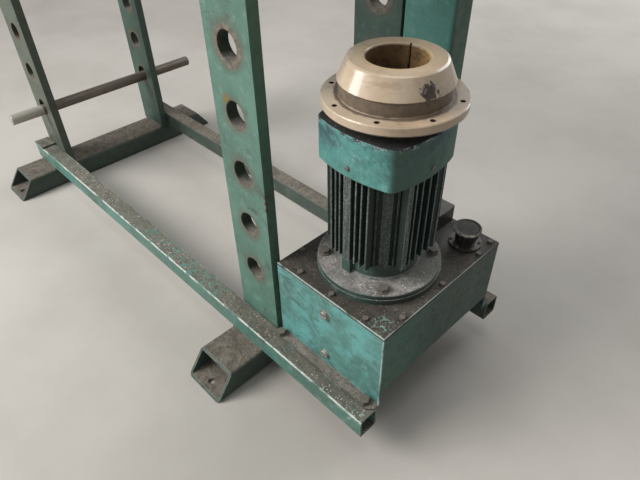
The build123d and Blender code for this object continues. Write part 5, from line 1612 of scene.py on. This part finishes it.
@dataclass
class Controls:
    """The column with its hand valve, buttons and gauge."""

    finishes: Finishes
    gauge: Point = (0.8182, 0.2105, 1.180)
    dial_face: float = 0.0190
    dial_radius: float = 0.038
    tick_count: int = 31
    tick_step: float = 9.0
    first_tick: float = 225.0
    tick_proud: float = 0.00025
    tick_sunk: float = 0.0001

    def build(self) -> None:
        """Dress the column and its controls, and mark the gauge's dial."""
        finishes = self.finishes
        dress_plain((
            ("control_column", finishes.panel, ""),
            ("column_bolts", finishes.zinc, "_Column"),
            ("valve_body", finishes.iron, "_Valve"),
            ("valve_spool", finishes.machined, "_Spool"),
            ("valve_lever", finishes.machined, "_Lever"),
            ("switch_box", finishes.grey, ""),
            ("start_button", finishes.go, ""),
            ("stop_button", finishes.halt, ""),
            ("gauge_case", finishes.dial, ""),
            ("gauge_pointer", finishes.black, "_Pointer"),
        ))
        dress("gauge_glass", Glass("GaugeGlass").material())
        self.mark_dial()

    def mark_dial(self) -> None:
        """Raise the dial's ticks, with a long one at every fifth."""
        mesh = bmesh.new()
        front = Vector((0.0, -self.dial_face - self.tick_proud, 0.0))
        back = Vector((0.0, -self.dial_face + self.tick_sunk, 0.0))
        for tick in range(self.tick_count):
            angle = math.radians(self.first_tick - self.tick_step * tick)
            half, length = (0.0008, 0.0065) if tick % 5 == 0 else (0.0004, 0.0035)
            out = Vector((math.cos(angle), 0.0, math.sin(angle)))
            side = Vector((-math.sin(angle), 0.0, math.cos(angle))) * half
            far, near = self.dial_radius, self.dial_radius - length
            rings = [
                [
                    mesh.verts.new(Vector(self.gauge) + out * reach + side * way + lift)
                    for reach, way in ((near, -1), (far, -1), (far, 1), (near, 1))
                ]
                for lift in (front, back)
            ]
            mesh.faces.new(rings[0])
            bridge(mesh, *rings)
        piece("GaugeTicks", mesh, self.finishes.black.material((), "_Ticks"))


@dataclass
class Studio:
    """The floor, the lamps and the camera."""

    eye: Point = (1.5631, -0.8475, 1.3158)
    look: Point = (-0.55320, 0.52534, -0.64652)
    right: Point = (0.69835, 0.71558, -0.01609)
    lens: float = 30.92
    sky: float = 0.26
    backdrop: float = 0.62
    floor_half: float = 9.0

    def build(self) -> None:
        """Make the floor, lamps, world and camera."""
        self.lay_floor()
        self.hang_lamps()
        self.light_world()
        self.place_camera()

    def lay_floor(self) -> None:
        """Lay a plain pale floor."""
        mesh = bmesh.new()
        corners = ((-1, -1), (1, -1), (1, 1), (-1, 1))
        half = self.floor_half
        mesh.faces.new([mesh.verts.new((x * half, y * half, 0.0)) for x, y in corners])
        data = bpy.data.meshes.new("Floor")
        mesh.to_mesh(data)
        mesh.free()
        floor = stand("Floor", data)
        net = finish_net("PaleFloor")
        clouds = net.noise(1.4, 5.0, 0.6)
        colour = net.blend(clouds.rise(0.35, 0.68), (0.430, 0.405, 0.370), (0.375, 0.350, 0.318))
        data.materials.append(net.finish(Base_Color=colour, Roughness=0.85))

    def hang_lamps(self) -> None:
        """Hang a broad key lamp and a low window at the front left, and weaker fills."""
        lamps = (
            ("KeyLamp", (-2.6, -5.0, 5.5), (0.5, 0.0, 0.5), 4.0, 520.0, (1.0, 0.985, 0.96)),
            ("WindowLamp", (-1.05, -2.13, 1.7), (0.93, -0.03, 0.88), 1.15, 38.0, (0.98, 0.99, 1.0)),
            ("FillLamp", (3.4, -2.0, 2.6), (0.6, 0.0, 0.4), 3.0, 9.0, (0.96, 0.98, 1.0)),
            ("TopLamp", (0.4, 0.6, 4.4), (0.4, 0.0, 0.0), 3.0, 50.0, (1.0, 1.0, 1.0)),
            ("BackLamp", (0.6, 5.2, 3.2), (0.3, 0.0, 0.8), 4.0, 180.0, (0.97, 0.985, 1.0)),
        )
        for name, spot, aim, size, power, tint in lamps:
            data = bpy.data.lights.new(name, "AREA")
            data.energy = power
            data.size = size
            data.color = tint
            lamp = stand(name, data)
            lamp.location = spot
            toward = Vector(aim) - Vector(spot)
            lamp.rotation_euler = toward.to_track_quat("-Z", "Y").to_euler()

    def light_world(self) -> None:
        """Fill the shadows with an even sky, paler to the camera and in metal and glass."""
        world = bpy.data.worlds.new("Sky")
        net = Net(world)
        ray = net.node("ShaderNodeLightPath")
        seen, mirrored, through = (
            Value(net, ray.outputs[f"Is {kind} Ray"])
            for kind in ("Camera", "Glossy", "Transmission")
        )
        level = (seen | mirrored | through) * (self.backdrop - self.sky) + self.sky
        sockets = {"Color": opaque((0.82, 0.84, 0.86)), "Strength": level}
        sky = net.node("ShaderNodeBackground", None, sockets)
        net.node("ShaderNodeOutputWorld", None, {"Surface": sky.outputs[0]})
        bpy.context.scene.world = world

    def place_camera(self) -> None:
        """Stand the camera where the photograph was taken from."""
        data = bpy.data.cameras.new("Camera")
        data.lens = self.lens
        data.sensor_width = 36.0
        data.clip_end = 50.0
        camera = stand("Camera", data)
        back = -Vector(self.look).normalized()
        right = Vector(self.right).normalized()
        up = back.cross(right).normalized()
        turn = Matrix((right, up, back)).transposed().to_4x4()
        camera.matrix_world = Matrix.Translation(Vector(self.eye)) @ turn
        bpy.context.scene.camera = camera


def main() -> None:
    """Build the studio and every sub-assembly, and log each one as it is built."""
    logging.basicConfig(level=logging.INFO, format="%(name)s: %(message)s")
    scene = bpy.context.scene
    scene.view_settings.view_transform = "Standard"
    Studio().build()
    finishes = Finishes()
    for assembly in (PressFrame, PressHead, PowerPack, Controls):
        assembly(finishes).build()
        log.info("built %s", assembly.__name__)


if __name__ == "__main__":
    main()
